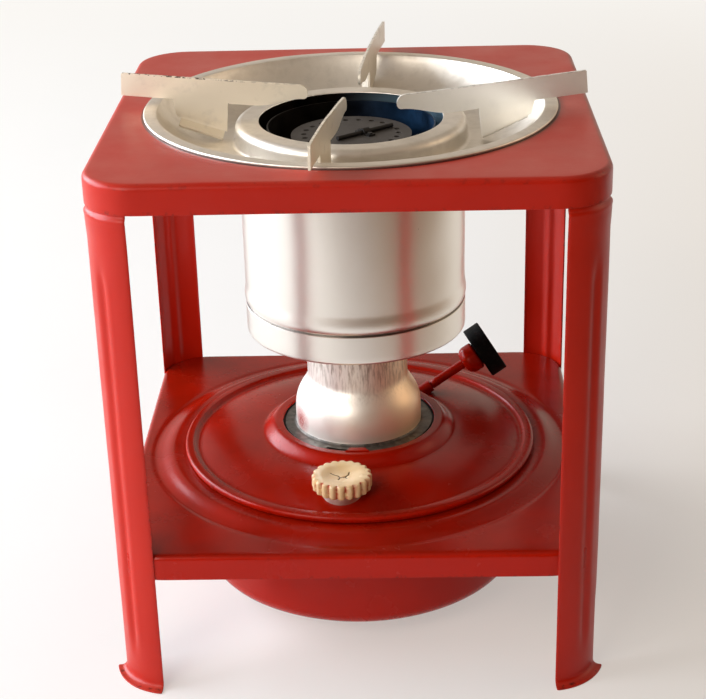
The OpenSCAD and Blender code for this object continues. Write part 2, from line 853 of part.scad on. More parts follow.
module inner_flame_tube() {
    sleeve_r = air_tube_r - alu_t - 3 * bearing_gap;
    sleeve_down = 8;
    sleeve_up = 4;
    plain_low = 2;
    plain_high = 4;
    low_z = flame_foot_z + run_gap;
    path = [[air_tube_r, low_z], [air_tube_r, flame_cone_z],
        [inner_flame_r, flame_cone_z + flame_cone_h], [inner_flame_r, spreader_z]];
    color("dimgray")
        difference() {
            union() {
                spun(path, alu_t);
                difference() {
                    union() {
                        translate([0, 0, low_z - sleeve_down])
                            cylinder(r = sleeve_r, h = sleeve_down + sleeve_up);
                        translate([0, 0, low_z])
                            cylinder(r = air_tube_r - alu_t / 2, h = sleeve_up);
                    }
                    translate([0, 0, low_z - sleeve_down - past])
                        cylinder(r = sleeve_r - alu_t, h = sleeve_down + sleeve_up + 2 * past);
                }
            }
            flame_holes(inner_flame_r, flame_cone_z + flame_cone_h + plain_low, pin_z - plain_high);
            flame_tube_pins_at(pin_r + bearing_gap);
        }
}

// Two rods crossing both flame tubes
module flame_tube_pins_at(r) {
    for (i = [0 : 1])
        translate([0, 0, pin_z + i * (2 * pin_r + pin_apart)])
            rotate([0, 90, 45 + 90 * i])
                cylinder(r = r, h = 2 * outer_flame_r, center = true);
}

module flame_tube_pins() {
    color("gray")
        flame_tube_pins_at(pin_r);
}

// Flame spreader
module flame_spreader() {
    spigot_gap = 0.2;
    spigot_r = inner_flame_r - alu_t - run_gap - spigot_gap;
    color("dimgray")
        difference() {
            union() {
                translate([0, 0, spreader_top_z - spreader_t])
                    cylinder(r = spreader_r, h = spreader_t);
                translate([0, 0, spreader_z - spigot_h])
                    difference() {
                        cylinder(r = spigot_r, h = spigot_h + run_gap + eps);
                        translate([0, 0, -past])
                            cylinder(r = spigot_r - alu_t, h = spigot_h + run_gap + 2 * past);
                    }
            }
            ring_of(spreader_holes, spreader_ring_r, spreader_hole_r, spreader_z - past,
                spreader_t + run_gap + 2 * past);
            on_strap()
                rivet_shanks(rivet_r + bearing_gap);
        }
}

// Frame of the strap, on the spreader's face
module on_strap() {
    translate([rod_at[0], rod_at[1], spreader_top_z])
        rotate([0, 0, rod_az + 90])
            children();
}

// Strap that holds the rod down, bowed over it
module spreader_strap() {
    bow = rod_r + 3 * bearing_gap;
    color("black")
        on_strap()
            difference() {
                translate([0, strap_w / 2, 0])
                    rotate([90, 0, 0])
                        linear_extrude(strap_w)
                            difference() {
                                union() {
                                    translate([-strap_len / 2, 0])
                                        square([strap_len, strap_t]);
                                    translate([0, rod_r])
                                        circle(r = bow + strap_t);
                                }
                                translate([0, rod_r])
                                    circle(r = bow);
                                translate([-bow, -past])
                                    square([2 * bow, past + rod_r]);
                                translate([-strap_len, -strap_w])
                                    square([2 * strap_len, strap_w]);
                            }
                rivet_shanks(rivet_r + bearing_gap);
            }
}

module rivet_shanks(r) {
    for (side = [-1, 1])
        translate([side * rivet_gap / 2, 0, -spreader_t])
            cylinder(r = r, h = spreader_t + strap_t);
}

module spreader_rod() {
    color("dimgray")
        on_strap()
            translate([0, 0, rod_r])
                rotate([90, 0, 0])
                    cylinder(r = rod_r, h = rod_len, center = true);
}

module spreader_rivets() {
    color("gray")
        on_strap() {
            rivet_shanks(rivet_r);
            for (side = [-1, 1])
                translate([side * rivet_gap / 2, 0, strap_t])
                    cylinder(r = rivet_head_r, h = rivet_head_h);
        }
}

// Wick and its drive
module wick() {
    color("linen")
        translate([0, 0, wick_top_z - wick_len])
            difference() {
                cylinder(r = wick_out_r, h = wick_len);
                translate([0, 0, -past])
                    cylinder(r = wick_in_r, h = wick_len + 2 * past);
            }
}

module wick_carrier() {
    color("silver") {
        translate([0, 0, rack_base_z])
            difference() {
                union() {
                    cylinder(r = carrier_r, h = rack_top_z - rack_base_z);
                    rotate([0, 0, spindle_az])
                        translate([-rack_w / 2, 0, 0])
                            cube([rack_w, rack_face, rack_top_z - rack_base_z]);
                }
                translate([0, 0, -past])
                    cylinder(r = carrier_in_r, h = rack_top_z - rack_base_z + 2 * past);
            }
        intersection() {
            rotate([0, 0, spindle_az])
                translate([-rack_w / 2, rack_face - tooth_sink, rack_base_z])
                    cube([rack_w, 2 * rack_wall + tooth_in + tooth_out, rack_top_z - rack_base_z]);
            for (k = [-rack_down - 1 : rack_up + 1])
                translate([0, 0, k * rack_step])
                    on_spindle(0)
                        translate([0, -spindle_off + rack_face, -rack_w])
                            linear_extrude(2 * rack_w)
                                tooth(tooth_in + tooth_out);
        }
    }
}

// One tooth standing along +Y on a base at y = 0
module tooth(h) {
    polygon([[-tooth_root_w / 2, -tooth_foot], [tooth_root_w / 2, -tooth_foot],
        [tooth_tip_w / 2, h - tooth_blunt], [-tooth_tip_w / 2, h - tooth_blunt]]);
}

module pinion() {
    root_r = pinion_r - tooth_in;
    color("goldenrod")
        on_spindle(-pinion_t / 2)
            difference() {
                linear_extrude(pinion_t)
                    union() {
                        circle(r = root_r);
                        for (i = [0 : pinion_teeth - 1])
                            rotate(360 * (i + 0.5) / pinion_teeth)
                                translate([0, root_r])
                                    tooth(tooth_in + tooth_out);
                    }
                translate([0, 0, -past])
                    cylinder(r = spindle_r + bearing_gap, h = pinion_t + 2 * past);
            }
}

module spindle() {
    color("firebrick")
        on_spindle(0) {
            translate([0, 0, -spindle_tail])
                cylinder(r = spindle_r, h = spindle_tail + stem_from + eps);
            translate([0, 0, stem_from])
                cylinder(r = stem_r, h = spindle_len + knob_t - knob_crown_t - stem_from);
        }
}

module knob_hub() {
    collar_w = 0.6;
    back_r = 1.4;
    ball_r = hub_r - stem_r - collar_w;
    color("firebrick")
        on_spindle(spindle_len - hub_len)
            difference() {
                rotate_extrude()
                    polygon(concat([[0, 0]],
                        arc([hub_r - ball_r, ball_r], ball_r, 270, 360, 8),
                        arc([hub_r - back_r, hub_len - back_r], back_r, 0, 90, 4),
                        [[0, hub_len]]));
                translate([0, 0, -past])
                    cylinder(r = stem_r + bearing_gap, h = hub_len + 2 * past);
            }
}

module knob() {
    rim = 0.6;
    color("black")
        on_spindle(spindle_len)
            difference() {
                rotate_extrude()
                    polygon([[0, 0], [knob_r - rim, 0], [knob_r, rim], [knob_r, knob_t - rim],
                        [knob_r - rim, knob_t], [0, knob_t]]);
                translate([0, 0, -past])
                    cylinder(r = stem_r + bearing_gap, h = knob_t - knob_crown_t + past);
            }
}

top_plate();
leg_front_left();
leg_front_right();
leg_back_left();
leg_back_right();
shelf_plate();
tank_bowl();
tank_top();
burner_seat();
central_air_tube();
wick_tube();
filler_neck();
cap_seal();
filler_cap();
spindle_gland();
gland_packing();
gland_nut();
drip_pan();
pot_support_right();
pot_support_back();
pot_support_left();
pot_support_front();
burner_bell();
gallery_plate();
drum_shell();
outer_flame_tube();
inner_flame_tube();
flame_tube_pins();
flame_spreader();
spreader_strap();
spreader_rod();
spreader_rivets();
wick();
wick_carrier();
spindle();
pinion();
knob_hub();
knob();
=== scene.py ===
"""Looks of a table-top wick stove, built round its solids.

Z is up, the feet stand on z = 0, the burner's axis is the Z axis and the filler cap is at the front, -Y.
Lengths are written in millimetres and become metres where a mesh is made. The pressed, spun and cut
sheets that show are modelled again here, with their bends, rims and dents, in the places that the
solids' boxes give. The other solids only get their finish.
"""
import math

import bmesh
import bpy
import numpy as np
from mathutils import Matrix, Vector, noise


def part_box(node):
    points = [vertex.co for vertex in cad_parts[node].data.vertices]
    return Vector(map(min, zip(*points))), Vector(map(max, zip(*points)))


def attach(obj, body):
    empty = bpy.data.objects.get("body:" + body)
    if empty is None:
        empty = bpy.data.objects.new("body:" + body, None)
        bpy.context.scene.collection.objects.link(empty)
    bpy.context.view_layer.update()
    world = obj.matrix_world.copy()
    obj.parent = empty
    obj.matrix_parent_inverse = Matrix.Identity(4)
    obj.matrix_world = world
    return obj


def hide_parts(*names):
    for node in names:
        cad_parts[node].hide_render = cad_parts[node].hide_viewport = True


MM = 0.001
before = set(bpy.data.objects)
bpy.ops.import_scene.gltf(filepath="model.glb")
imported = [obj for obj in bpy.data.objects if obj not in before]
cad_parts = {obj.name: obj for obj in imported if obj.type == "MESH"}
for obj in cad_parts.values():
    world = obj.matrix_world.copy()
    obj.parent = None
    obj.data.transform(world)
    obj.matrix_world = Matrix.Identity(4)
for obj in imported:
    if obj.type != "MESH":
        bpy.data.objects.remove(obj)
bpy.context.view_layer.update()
scene = bpy.context.scene


def box_mm(node):
    """Lowest and highest corner of a solid, in millimetres."""
    low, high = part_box(node)
    return low / MM, high / MM


# --- Sizes -----------------------------------------------------------------------------------------
SHEET = 0.8  # steel of the stand and the tank
ALU = 0.7  # aluminium of the burner and the pan
PLATE_LOW, PLATE_HIGH = box_mm("top_plate")
CORNER_R = 26.0
BEND_R = 3.0
LEG_R = CORNER_R - 0.1
CORNER_AT = PLATE_HIGH.x - CORNER_R
LEG_TOP_Z = box_mm("leg_front_left")[1].z
LEG_ARC = 72.0  # degrees of the leg's round section
SHELF_LOW, SHELF_HIGH = box_mm("shelf_plate")
SHELF_CORNER_R = LEG_R - SHEET - 0.1
STEP_H = 3.0  # the raised ring round the tank
STEP_R = 108.5
TANK_LOW, TANK_HIGH = box_mm("tank_top")
BOWL_LOW, BOWL_HIGH = box_mm("tank_bowl")
TANK_R = 86.5
SEAM_R = TANK_HIGH.x
BOSS_Z = TANK_HIGH.z
MOUTH_R = 40.8
BOSS_R = 52.5
BOSS_TOP_R = 44.5
BELL_LOW, BELL_HIGH = box_mm("burner_bell")
NECK_R = 26.7
BELL_R = 33.8
BELL_H = 29.0
SLOT_R = 37.5  # radius at which the flange's slots for the tabs begin
DRUM_LOW, DRUM_HIGH = box_mm("drum_shell")
DRUM_R = 57.4
BAND_R = 57.6  # the drum's lower band, under its crease
BAND_H = 15.4
CREASE_Z = DRUM_LOW.z + BAND_H
PAN_HIGH = box_mm("drip_pan")[1]
PAN_LIP_W = 7.0
PAN_DEPTH = 18.2
PAN_FLOOR_Z = PAN_HIGH.z - PAN_DEPTH
PAN_FLOOR_R = 70.0
PAN_WALL_R = PAN_HIGH.x - PAN_LIP_W
PAN_WALL_H = PAN_DEPTH - 1.0
PAN_WALL_ARC = ((PAN_WALL_R - PAN_FLOOR_R) ** 2 + PAN_WALL_H ** 2) / (2 * PAN_WALL_H)
FLAME_HOLE_R = 46.4
COLLAR_R = 58.6
SUPPORT_T = 1.3
SUPPORT_PLACES = {  # direction, distance beside the axis, tilt in degrees and sideways bow in mm
    "right": (6.5, -20.0, 5.0, 0.6),
    "back": (82.5, 0.0, 2.5, -1.2),
    "left": (176.0, 0.0, 4.0, -0.8),
    "front": (262.0, 0.0, 2.5, 1.2),
}
FOOT_W = 6.0  # the folded foot's reach beside the sheet, and how far it slopes down
FOOT_DROP = 2.8
CAP_LOW, CAP_HIGH = box_mm("filler_cap")
TABS_AZ = (-90.0, 90.0)  # directions of the bayonet's tabs, in degrees
TAB_W = 9.4
TAB_PLAY = 2.6  # how much wider the flange's slots are than the tabs
UNLOCK_TURN = 16.0  # degrees from the locked burner to its slots under the tabs

SPINDLE_AZ = math.radians(12.4)
SPINDLE_TILT = math.radians(31.0)
SPINDLE_FOOT = Vector((-6.668, 30.326, 62.4))  # beside the wick, where the rack is
SPINDLE_DIR = Vector((
    math.cos(SPINDLE_TILT) * math.cos(SPINDLE_AZ),
    math.cos(SPINDLE_TILT) * math.sin(SPINDLE_AZ),
    math.sin(SPINDLE_TILT),
))
SPINDLE_LEN = 87.6
SPINDLE_R = 2.0
STEM_R = 2.5
STEM_FROM = 56.3
KNOB_R = 15.0
KNOB_T = 9.6
HUB_R = 8.0
HUB_LEN = 10.0

# --- Camera of the photograph ----------------------------------------------------------------------
IMAGE_W = 706
CAMERA_AT = Vector((23.8, -825.2, 500.7))
CAMERA_PITCH, CAMERA_YAW, CAMERA_ROLL = math.radians(24.06), math.radians(-1.80), math.radians(-1.57)
CAMERA_FOCAL_PX = 1693.4
SENSOR_MM = 36.0


def make_camera():
    """Camera at the photograph's place, from the stand's and the rims' perspective."""
    forward = Vector((
        math.sin(CAMERA_YAW) * math.cos(CAMERA_PITCH),
        math.cos(CAMERA_YAW) * math.cos(CAMERA_PITCH),
        -math.sin(CAMERA_PITCH),
    ))
    level_right = Vector((math.cos(CAMERA_YAW), -math.sin(CAMERA_YAW), 0))
    level_up = level_right.cross(forward)
    right = math.cos(CAMERA_ROLL) * level_right + math.sin(CAMERA_ROLL) * level_up
    up = -math.sin(CAMERA_ROLL) * level_right + math.cos(CAMERA_ROLL) * level_up
    data = bpy.data.cameras.new("camera")
    data.sensor_fit = "HORIZONTAL"
    data.sensor_width = SENSOR_MM
    data.lens = CAMERA_FOCAL_PX * SENSOR_MM / IMAGE_W
    data.clip_start = 0.01
    camera = bpy.data.objects.new("camera", data)
    turn = Matrix((right, up, -forward)).transposed().to_4x4()
    camera.matrix_world = Matrix.Translation(CAMERA_AT * MM) @ turn
    scene.collection.objects.link(camera)
    scene.camera = camera


# --- Nodes and materials ---------------------------------------------------------------------------
def linear(hex_colour):
    """An sRGB hex colour as the linear colour that a shader takes."""
    parts = [int(hex_colour[i:i + 2], 16) / 255 for i in (1, 3, 5)]
    return [p / 12.92 if p <= 0.04045 else ((p + 0.055) / 1.055) ** 2.4 for p in parts] + [1.0]


def add(tree, kind, inputs=None, out=None, **settings):
    """Adds a node, sets its properties, and gives each input a value or the socket that feeds it.

    An input goes by its name or its number. Returns the node, or only its output if out says which."""
    new = tree.nodes.new(kind)
    for name, value in settings.items():
        setattr(new, name, value)
    for name, value in (inputs or {}).items():
        if isinstance(value, bpy.types.NodeSocket):
            tree.links.new(value, new.inputs[name])
        else:
            new.inputs[name].default_value = value
    return new if out is None else new.outputs[out]


def per_mm(size):
    """The scale of a pattern on Object coordinates whose features are this many millimetres."""
    return 1 / (size * MM)


def new_material(name, **surface_values):
    """A material with a Principled surface. Returns the material, its tree, that node and the place."""
    made = bpy.data.materials.new(name)
    made.use_nodes = True
    tree = made.node_tree
    tree.nodes.clear()
    shader = add(tree, "ShaderNodeBsdfPrincipled", surface_values)
    add(tree, "ShaderNodeOutputMaterial", {"Surface": shader.outputs["BSDF"]})
    place = add(tree, "ShaderNodeTexCoord", out="Object")
    return made, tree, shader, place


def coated(tree, base, *coats):
    """Lays coats over a base, each by its share. A colour is a hex value, or a socket with one."""
    laid = linear(base) if isinstance(base, str) else base
    for share, colour in coats:
        over = linear(colour) if isinstance(colour, str) else colour
        laid = add(tree, "ShaderNodeMix", {0: share, 6: laid, 7: over}, 2, data_type="RGBA")
    return laid


def surface(tree, shader, colour, rough=None, *bumps):
    """Feeds a shader its colour, its roughness and its bumps, each a height, its millimetres and strength."""
    tree.links.new(colour, shader.inputs["Base Color"])
    if rough:
        tree.links.new(rough, shader.inputs["Roughness"])
    for height, depth, strength in bumps:
        raised = {"Height": height, "Distance": depth * MM, "Strength": strength}
        if shader.inputs["Normal"].is_linked:
            raised["Normal"] = shader.inputs["Normal"].links[0].from_socket
        tree.links.new(add(tree, "ShaderNodeBump", raised, "Normal"), shader.inputs["Normal"])


def mottle(tree, place, size, detail=3.0, stretch=None):
    """Cloudy pattern from 0 to 1 with patches of this size in millimetres, stretched if asked."""
    if stretch:
        place = add(tree, "ShaderNodeMapping", {"Vector": place, "Scale": stretch}, "Vector")
    inputs = {"Vector": place, "Scale": per_mm(size), "Detail": detail, "Roughness": 0.55}
    return add(tree, "ShaderNodeTexNoise", inputs, "Fac")


def specks(tree, place, spacing, radius, share):
    """Round specks: about one cell in 1/share of this spacing holds one, up to this radius."""
    cell = add(tree, "ShaderNodeTexVoronoi", {"Vector": place, "Scale": per_mm(spacing)})
    lottery = add(tree, "ShaderNodeSeparateColor", {"Color": cell.outputs["Color"]})
    chosen = add(tree, "ShaderNodeMath", {0: lottery.outputs[0], 1: 1 - share}, 0, operation="GREATER_THAN")
    most = radius / spacing
    size = add(tree, "ShaderNodeMapRange", {0: lottery.outputs[1], 1: 0, 2: 1, 3: 0.35 * most, 4: most}, 0)
    near = add(tree, "ShaderNodeMath", {0: cell.outputs["Distance"], 1: size}, 0, operation="LESS_THAN")
    return add(tree, "ShaderNodeMath", {0: near, 1: chosen}, 0, operation="MULTIPLY")


def scratches(tree, place, length, width, share, turn):
    """Fine scratches about this long and wide, along one direction turned about the Z axis."""
    stretch = (1.0, length / width, length / width)
    across = {"Vector": place, "Rotation": (0.35, 0.2, turn), "Scale": stretch}
    turned = add(tree, "ShaderNodeMapping", across, "Vector")
    wave = add(tree, "ShaderNodeTexNoise", {"Vector": turned, "Scale": per_mm(length), "Detail": 1.0}, "Fac")
    return add(tree, "ShaderNodeMapRange", {0: wave, 1: 1 - share, 2: 1.02 - share}, 0)


def facing_up(tree, start, end):
    """How far a surface faces up: 0 where its normal's Z is start or less, 1 from end on."""
    normal = add(tree, "ShaderNodeNewGeometry", out="Normal")
    upward = add(tree, "ShaderNodeSeparateXYZ", {"Vector": normal}, "Z")
    return add(tree, "ShaderNodeMapRange", {0: upward, 1: start, 2: end}, 0)


def broken_up(tree, place, mark, size, detail, low, high):
    """A value that the mesh holds at its points, left only in patches of this size in millimetres."""
    held = add(tree, "ShaderNodeAttribute", out="Fac", attribute_name=mark)
    patches = add(tree, "ShaderNodeMapRange", {0: mottle(tree, place, size, detail), 1: low, 2: high}, 0)
    return add(tree, "ShaderNodeMath", {0: held, 1: patches}, 0, operation="MULTIPLY")


def painted_lip_shadow(tree, place):
    """Painted shadow: a thin dark line on the top plate, all along the drip pan's lip."""
    flat = add(tree, "ShaderNodeVectorMath", {0: place, 1: (1, 1, 0)}, 0, operation="MULTIPLY")
    from_axis = add(tree, "ShaderNodeVectorMath", {0: flat}, "Value", operation="LENGTH")
    line_r = (PAN_HIGH.x + 0.3) * MM
    beyond = add(tree, "ShaderNodeMath", {0: from_axis, 1: line_r}, 0, operation="SUBTRACT")
    off_line = add(tree, "ShaderNodeMath", {0: beyond}, 0, operation="ABSOLUTE")
    on_line = add(tree, "ShaderNodeMapRange", {0: off_line, 1: 0.4 * MM, 2: 1.1 * MM, 3: 0.85, 4: 0.0}, 0)
    height = add(tree, "ShaderNodeSeparateXYZ", {"Vector": place}, "Z")
    face_from, face_on = (PLATE_HIGH.z - 1) * MM, (PLATE_HIGH.z - 0.5) * MM
    on_face = add(tree, "ShaderNodeMapRange", {0: height, 1: face_from, 2: face_on}, 0)
    return add(tree, "ShaderNodeMath", {0: on_line, 1: on_face}, 0, operation="MULTIPLY")


def baked_enamel(name, light, dark, ior, level, rough, film):
    """Stoving enamel sprayed on pressed steel: a slight orange peel, chips on its edges, a few specks.

    film is the colour and the share, from least to most, of what lies where it faces up: dust on the
    stand, painted shade on the tank and the shelf."""
    made, tree, shader, place = new_material(name, **{"IOR": ior, "Specular IOR Level": level})
    dust_and_shade_colour, least, most = film
    cloud = mottle(tree, place, 38, 5)
    thick = add(tree, "ShaderNodeMapRange", {0: cloud, 1: 0.3, 2: 0.7, 3: least, 4: most}, 0)
    # Dust on the stand's enamel, painted shade on the tank's.
    dust_and_painted_shade = add(tree, "ShaderNodeMath", {0: facing_up(tree, 0.5, 0.99), 1: thick}, 0, operation="MULTIPLY")
    colour = coated(
        tree, dark,
        (mottle(tree, place, 70), light),
        (dust_and_painted_shade, dust_and_shade_colour),
        # painted shadow along the pan's lip
        (painted_lip_shadow(tree, place), "#1C0604"),
        (specks(tree, place, 26, 0.5, 0.1), "#3A120E"),
        (specks(tree, place, 31, 0.35, 0.1), "#D9B7A8"),
        (broken_up(tree, place, "edge", 3.2, 4, 0.55, 0.72), "#4A140D"),
    )
    gloss = mottle(tree, place, 24, 4)
    sheen = add(tree, "ShaderNodeMapRange", {0: gloss, 1: 0.3, 2: 0.7, 3: rough[0], 4: rough[1]}, 0)
    peel, waves = mottle(tree, place, 2.2, 2), mottle(tree, place, 14, 2)
    surface(tree, shader, colour, sheen, (peel, 0.06, 0.5), (waves, 0.12, 0.5))
    return made


def stand_enamel():
    """The stand's red enamel: satin, paled by dust on the top plate."""
    return baked_enamel("baked_red_enamel", "#BE1C02", "#A81400", 1.4, 0.45, (0.3, 0.42),
                        ("#CCB39C", 0.02, 0.07))


def tank_enamel():
    """The same enamel on the tank and the shelf, glossier: a darker copy with a dark brown film where it
    faces up, both painted shade under the top plate.
    """
    return baked_enamel("red_enamel_with_painted_shade", "#B81800", "#A01000", 1.25, 0.7, (0.2, 0.3),
                        ("#5A0E02", 0.35, 0.65))


def worked_aluminium(name, light, dark, rough, grain, stains, pitted, bare=1.0):
    """Bare aluminium sheet. grain stretches its fine lines, stains is how much is dull, pitted how much
    is pricked with corrosion, and bare is how much of it no film of oxide covers."""
    made, tree, shader, place = new_material(name, **{"Metallic": bare})
    dull = add(tree, "ShaderNodeMapRange", {0: mottle(tree, place, 9, 6), 1: 0.5 - stains, 2: 0.78}, 0)
    stained = add(tree, "ShaderNodeMapRange", {0: dull, 1: 0, 2: 1, 3: 0, 4: 0.35}, 0)
    pits = specks(tree, place, 11, 0.3, pitted)
    tone = coated(tree, dark, (mottle(tree, place, 34, 4), light), (stained, "#A8A195"), (pits, "#4B4640"))
    fine = mottle(tree, place, 1.6, 3, grain)
    mixed = add(tree, "ShaderNodeMath", {0: fine, 1: dull}, 0, operation="ADD")
    sheen = add(tree, "ShaderNodeMapRange", {0: mixed, 1: 0.3, 2: 1.5, 3: rough[0], 4: rough[1]}, 0)
    marks = scratches(tree, place, 14, 0.25, 0.27, 0.7)
    surface(tree, shader, tone, sheen, (fine, 0.02, 0.4), (marks, -0.04, 0.25))
    return made, tree, shader, place, tone


def spun_aluminium():
    """Aluminium turned on a lathe and brushed satin: next to no stains, and painted shade in its crease."""
    made, tree, shader, _, tone = worked_aluminium(
        "spun_aluminium", "#F6F2EC", "#EFEAE1", (0.3, 0.4), (1, 1, 14), -0.2, 0.12)
    # Painted shade: the crease is darkened to a thin dark line.
    crease = add(tree, "ShaderNodeAttribute", out="Fac", attribute_name="edge")
    painted_crease_shade = add(tree, "ShaderNodeMapRange", {0: crease, 1: 0.2, 2: 1.0, 3: 0, 4: 0.85}, 0)
    surface(tree, shader, coated(tree, tone, (painted_crease_shade, "#3A332C")))
    return made


def bell_aluminium():
    """The bell's spun aluminium: brown kerosene drips by the neck, a painted golden glare at the right,
    red overspray at the lower left."""
    made, tree, shader, place, tone = worked_aluminium(
        "bell_aluminium", "#FBF7F0", "#F1EADF", (0.42, 0.54), (1, 1, 14), -0.15, 0.2, 0.72)
    spot = add(tree, "ShaderNodeSeparateXYZ", {"Vector": place})
    # Painted highlight: a golden glare towards the right.
    painted_golden_glare = add(tree, "ShaderNodeMapRange",
                 {0: spot.outputs["X"], 1: 2 * MM, 2: 26 * MM, 3: 0, 4: 0.6}, 0)
    stain_low, stain_high = (BELL_LOW.z + 20) * MM, (BELL_LOW.z + 44) * MM
    near_neck = add(tree, "ShaderNodeMapRange",
                    {0: spot.outputs["Z"], 1: stain_low, 2: stain_high, 3: 0, 4: 0.75}, 0)
    runs = mottle(tree, place, 1.1, 5, (1, 1, 0.16))
    drips = add(tree, "ShaderNodeMapRange", {0: runs, 1: 0.44, 2: 0.66}, 0)
    darkened = add(tree, "ShaderNodeMath", {0: near_neck, 1: drips}, 0, operation="MULTIPLY")
    spray_at = Vector((-31.5, -15.5, BELL_LOW.z + 7)) * MM
    away = add(tree, "ShaderNodeVectorMath", {0: place, 1: spray_at}, "Value", operation="DISTANCE")
    reach = add(tree, "ShaderNodeMapRange", {0: away, 1: 2 * MM, 2: 9 * MM, 3: 0.85, 4: 0}, 0)
    droplets = mottle(tree, place, 0.8, 4)
    mist = add(tree, "ShaderNodeMapRange", {0: droplets, 1: 0.35, 2: 0.5, 3: 0.3, 4: 1.0}, 0)
    sprayed = add(tree, "ShaderNodeMath", {0: mist, 1: reach}, 0, operation="MULTIPLY")
    surface(tree, shader,
            coated(tree, tone, (painted_golden_glare, "#F2C486"), (darkened, "#6E4A26"), (sprayed, "#C22A20")))
    return made


def pressed_aluminium():
    """Pressed aluminium pan, washed for years: a soft grey satin, faintly water-stained."""
    return worked_aluminium("pressed_aluminium", "#E8E3DA", "#D2CBBF", (0.44, 0.56), (1, 1, 3), 0.02, 0.08)[0]


def cut_aluminium():
    """Aluminium sheet cut with shears: satin faces with straight rolling lines, a creamy film on the left
    ones, greyer towards the right as painted shade, and dirt in the chips along the upper edges, most of it
    at the left."""
    made, tree, shader, place, tone = worked_aluminium(
        "cut_sheet_aluminium", "#FDF4E2", "#F3E8D2", (0.42, 0.56), (1, 1, 9), -0.06, 0.12, 0.5)
    across = add(tree, "ShaderNodeSeparateXYZ", {"Vector": place}, "X")
    # Painted shade: greyer towards the right.
    painted_grey_right = add(tree, "ShaderNodeMapRange", {0: across, 1: -20 * MM, 2: 40 * MM, 3: 0, 4: 0.7}, 0)
    edge = add(tree, "ShaderNodeAttribute", out="Fac", attribute_name="edge")
    at_edge = add(tree, "ShaderNodeMapRange", {0: edge, 1: 0.55, 2: 0.8}, 0)
    flakes = add(tree, "ShaderNodeMapRange", {0: mottle(tree, place, 2.6, 4), 1: 0.5, 2: 0.56}, 0)
    chips = add(tree, "ShaderNodeMath", {0: at_edge, 1: flakes}, 0, operation="MULTIPLY")
    at_left = add(tree, "ShaderNodeMapRange", {0: across, 1: -70 * MM, 2: -50 * MM, 3: 1.0, 4: 0.25}, 0)
    knocked = add(tree, "ShaderNodeMath", {0: chips, 1: at_left}, 0, operation="MULTIPLY")
    surface(tree, shader, coated(tree, tone, (painted_grey_right, "#E4E6E5"), (knocked, "#4A382A")))
    return made


def smoked_aluminium():
    """The burner drum's inner face: aluminium under a brown-black film of soot, blue where it is thin."""
    made, tree, shader, place = new_material("smoked_aluminium", **{"Metallic": 0.85})
    across = add(tree, "ShaderNodeSeparateXYZ", {"Vector": place}, "X")
    side = add(tree, "ShaderNodeMapRange", {0: across, 1: -10 * MM, 2: 38 * MM}, 0)
    film = add(tree, "ShaderNodeMapRange", {0: mottle(tree, place, 12, 4), 1: 0.35, 2: 0.65}, 0)
    sheen = add(tree, "ShaderNodeMapRange", {0: film, 1: 0, 2: 1, 3: 0.35, 4: 0.6}, 0)
    surface(tree, shader, coated(tree, "#171310", (film, "#3B2E22"), (side, "#8FB4CC")), sheen)
    return made


def galvanised_steel():
    """Zinc-coated sheet gone dull: grey, mottled in grains of a few millimetres, matt."""
    made, tree, shader, place = new_material("dull_galvanised_steel", **{"Metallic": 0.9})
    grain = add(tree, "ShaderNodeTexVoronoi", {"Vector": place, "Scale": per_mm(2.6)}, "Color")
    grey = add(tree, "ShaderNodeSeparateColor", {"Color": grain}, 0)
    rust = add(tree, "ShaderNodeMapRange", {0: mottle(tree, place, 7, 6), 1: 0.55, 2: 0.72, 3: 0, 4: 0.6}, 0)
    colour = coated(tree, "#4B4844", (grey, "#6B6761"), (rust, "#6B5F52"))
    cloud = mottle(tree, place, 4, 5)
    sheen = add(tree, "ShaderNodeMapRange", {0: cloud, 1: 0.3, 2: 0.7, 3: 0.4, 4: 0.62}, 0)
    surface(tree, shader, colour, sheen, (grey, 0.03, 0.5))
    return made


def blued_steel():
    """Mild steel blued by the flame: deep blue on the hot side, soot on the other."""
    made, tree, shader, place = new_material("heat_blued_steel", **{"Metallic": 0.9})
    across = add(tree, "ShaderNodeSeparateXYZ", {"Vector": place}, "X")
    side = add(tree, "ShaderNodeMapRange", {0: across, 1: -12 * MM, 2: 30 * MM}, 0)
    cloud = mottle(tree, place, 9, 5)
    blue = coated(tree, "#081A30", (cloud, "#1B3F60"))
    sheen = add(tree, "ShaderNodeMapRange", {0: cloud, 1: 0.3, 2: 0.7, 3: 0.32, 4: 0.55}, 0)
    surface(tree, shader, coated(tree, "#0C0B0A", (cloud, "#2A231C"), (side, blue)), sheen)
    return made


def scaled_steel(name, metallic, dark, light, patch, rough, grit):
    """Mild steel under soot or scale, in patches of this size, with the bump of its grit."""
    made, tree, shader, place = new_material(name, **{"Metallic": metallic})
    cloud = mottle(tree, place, *patch)
    sheen = add(tree, "ShaderNodeMapRange", {0: cloud, 1: 0.3, 2: 0.7, 3: rough[0], 4: rough[1]}, 0)
    grit_size, grit_depth, strength = grit
    grains = mottle(tree, place, grit_size, 3)
    surface(tree, shader, coated(tree, dark, (cloud, light)), sheen, (grains, grit_depth, strength))
    return made


def sooted_steel():
    """Mild steel above the flame: grey oxide under a thin grey-brown dust of soot, matt."""
    return scaled_steel("sooted_steel", 0.5, "#2B2826", "#5F5953", (8, 5), (0.5, 0.75), (1.4, 0.04, 0.5))


def black_steel():
    """Strap and rod over the flame: black scale. On the burner seat the same black is painted shade."""
    return scaled_steel("black_scale_steel_and_painted_shade", 0.4, "#0D0C0C", "#26211E", (4, 4), (0.45, 0.7), (0.9, 0.03, 0.6))


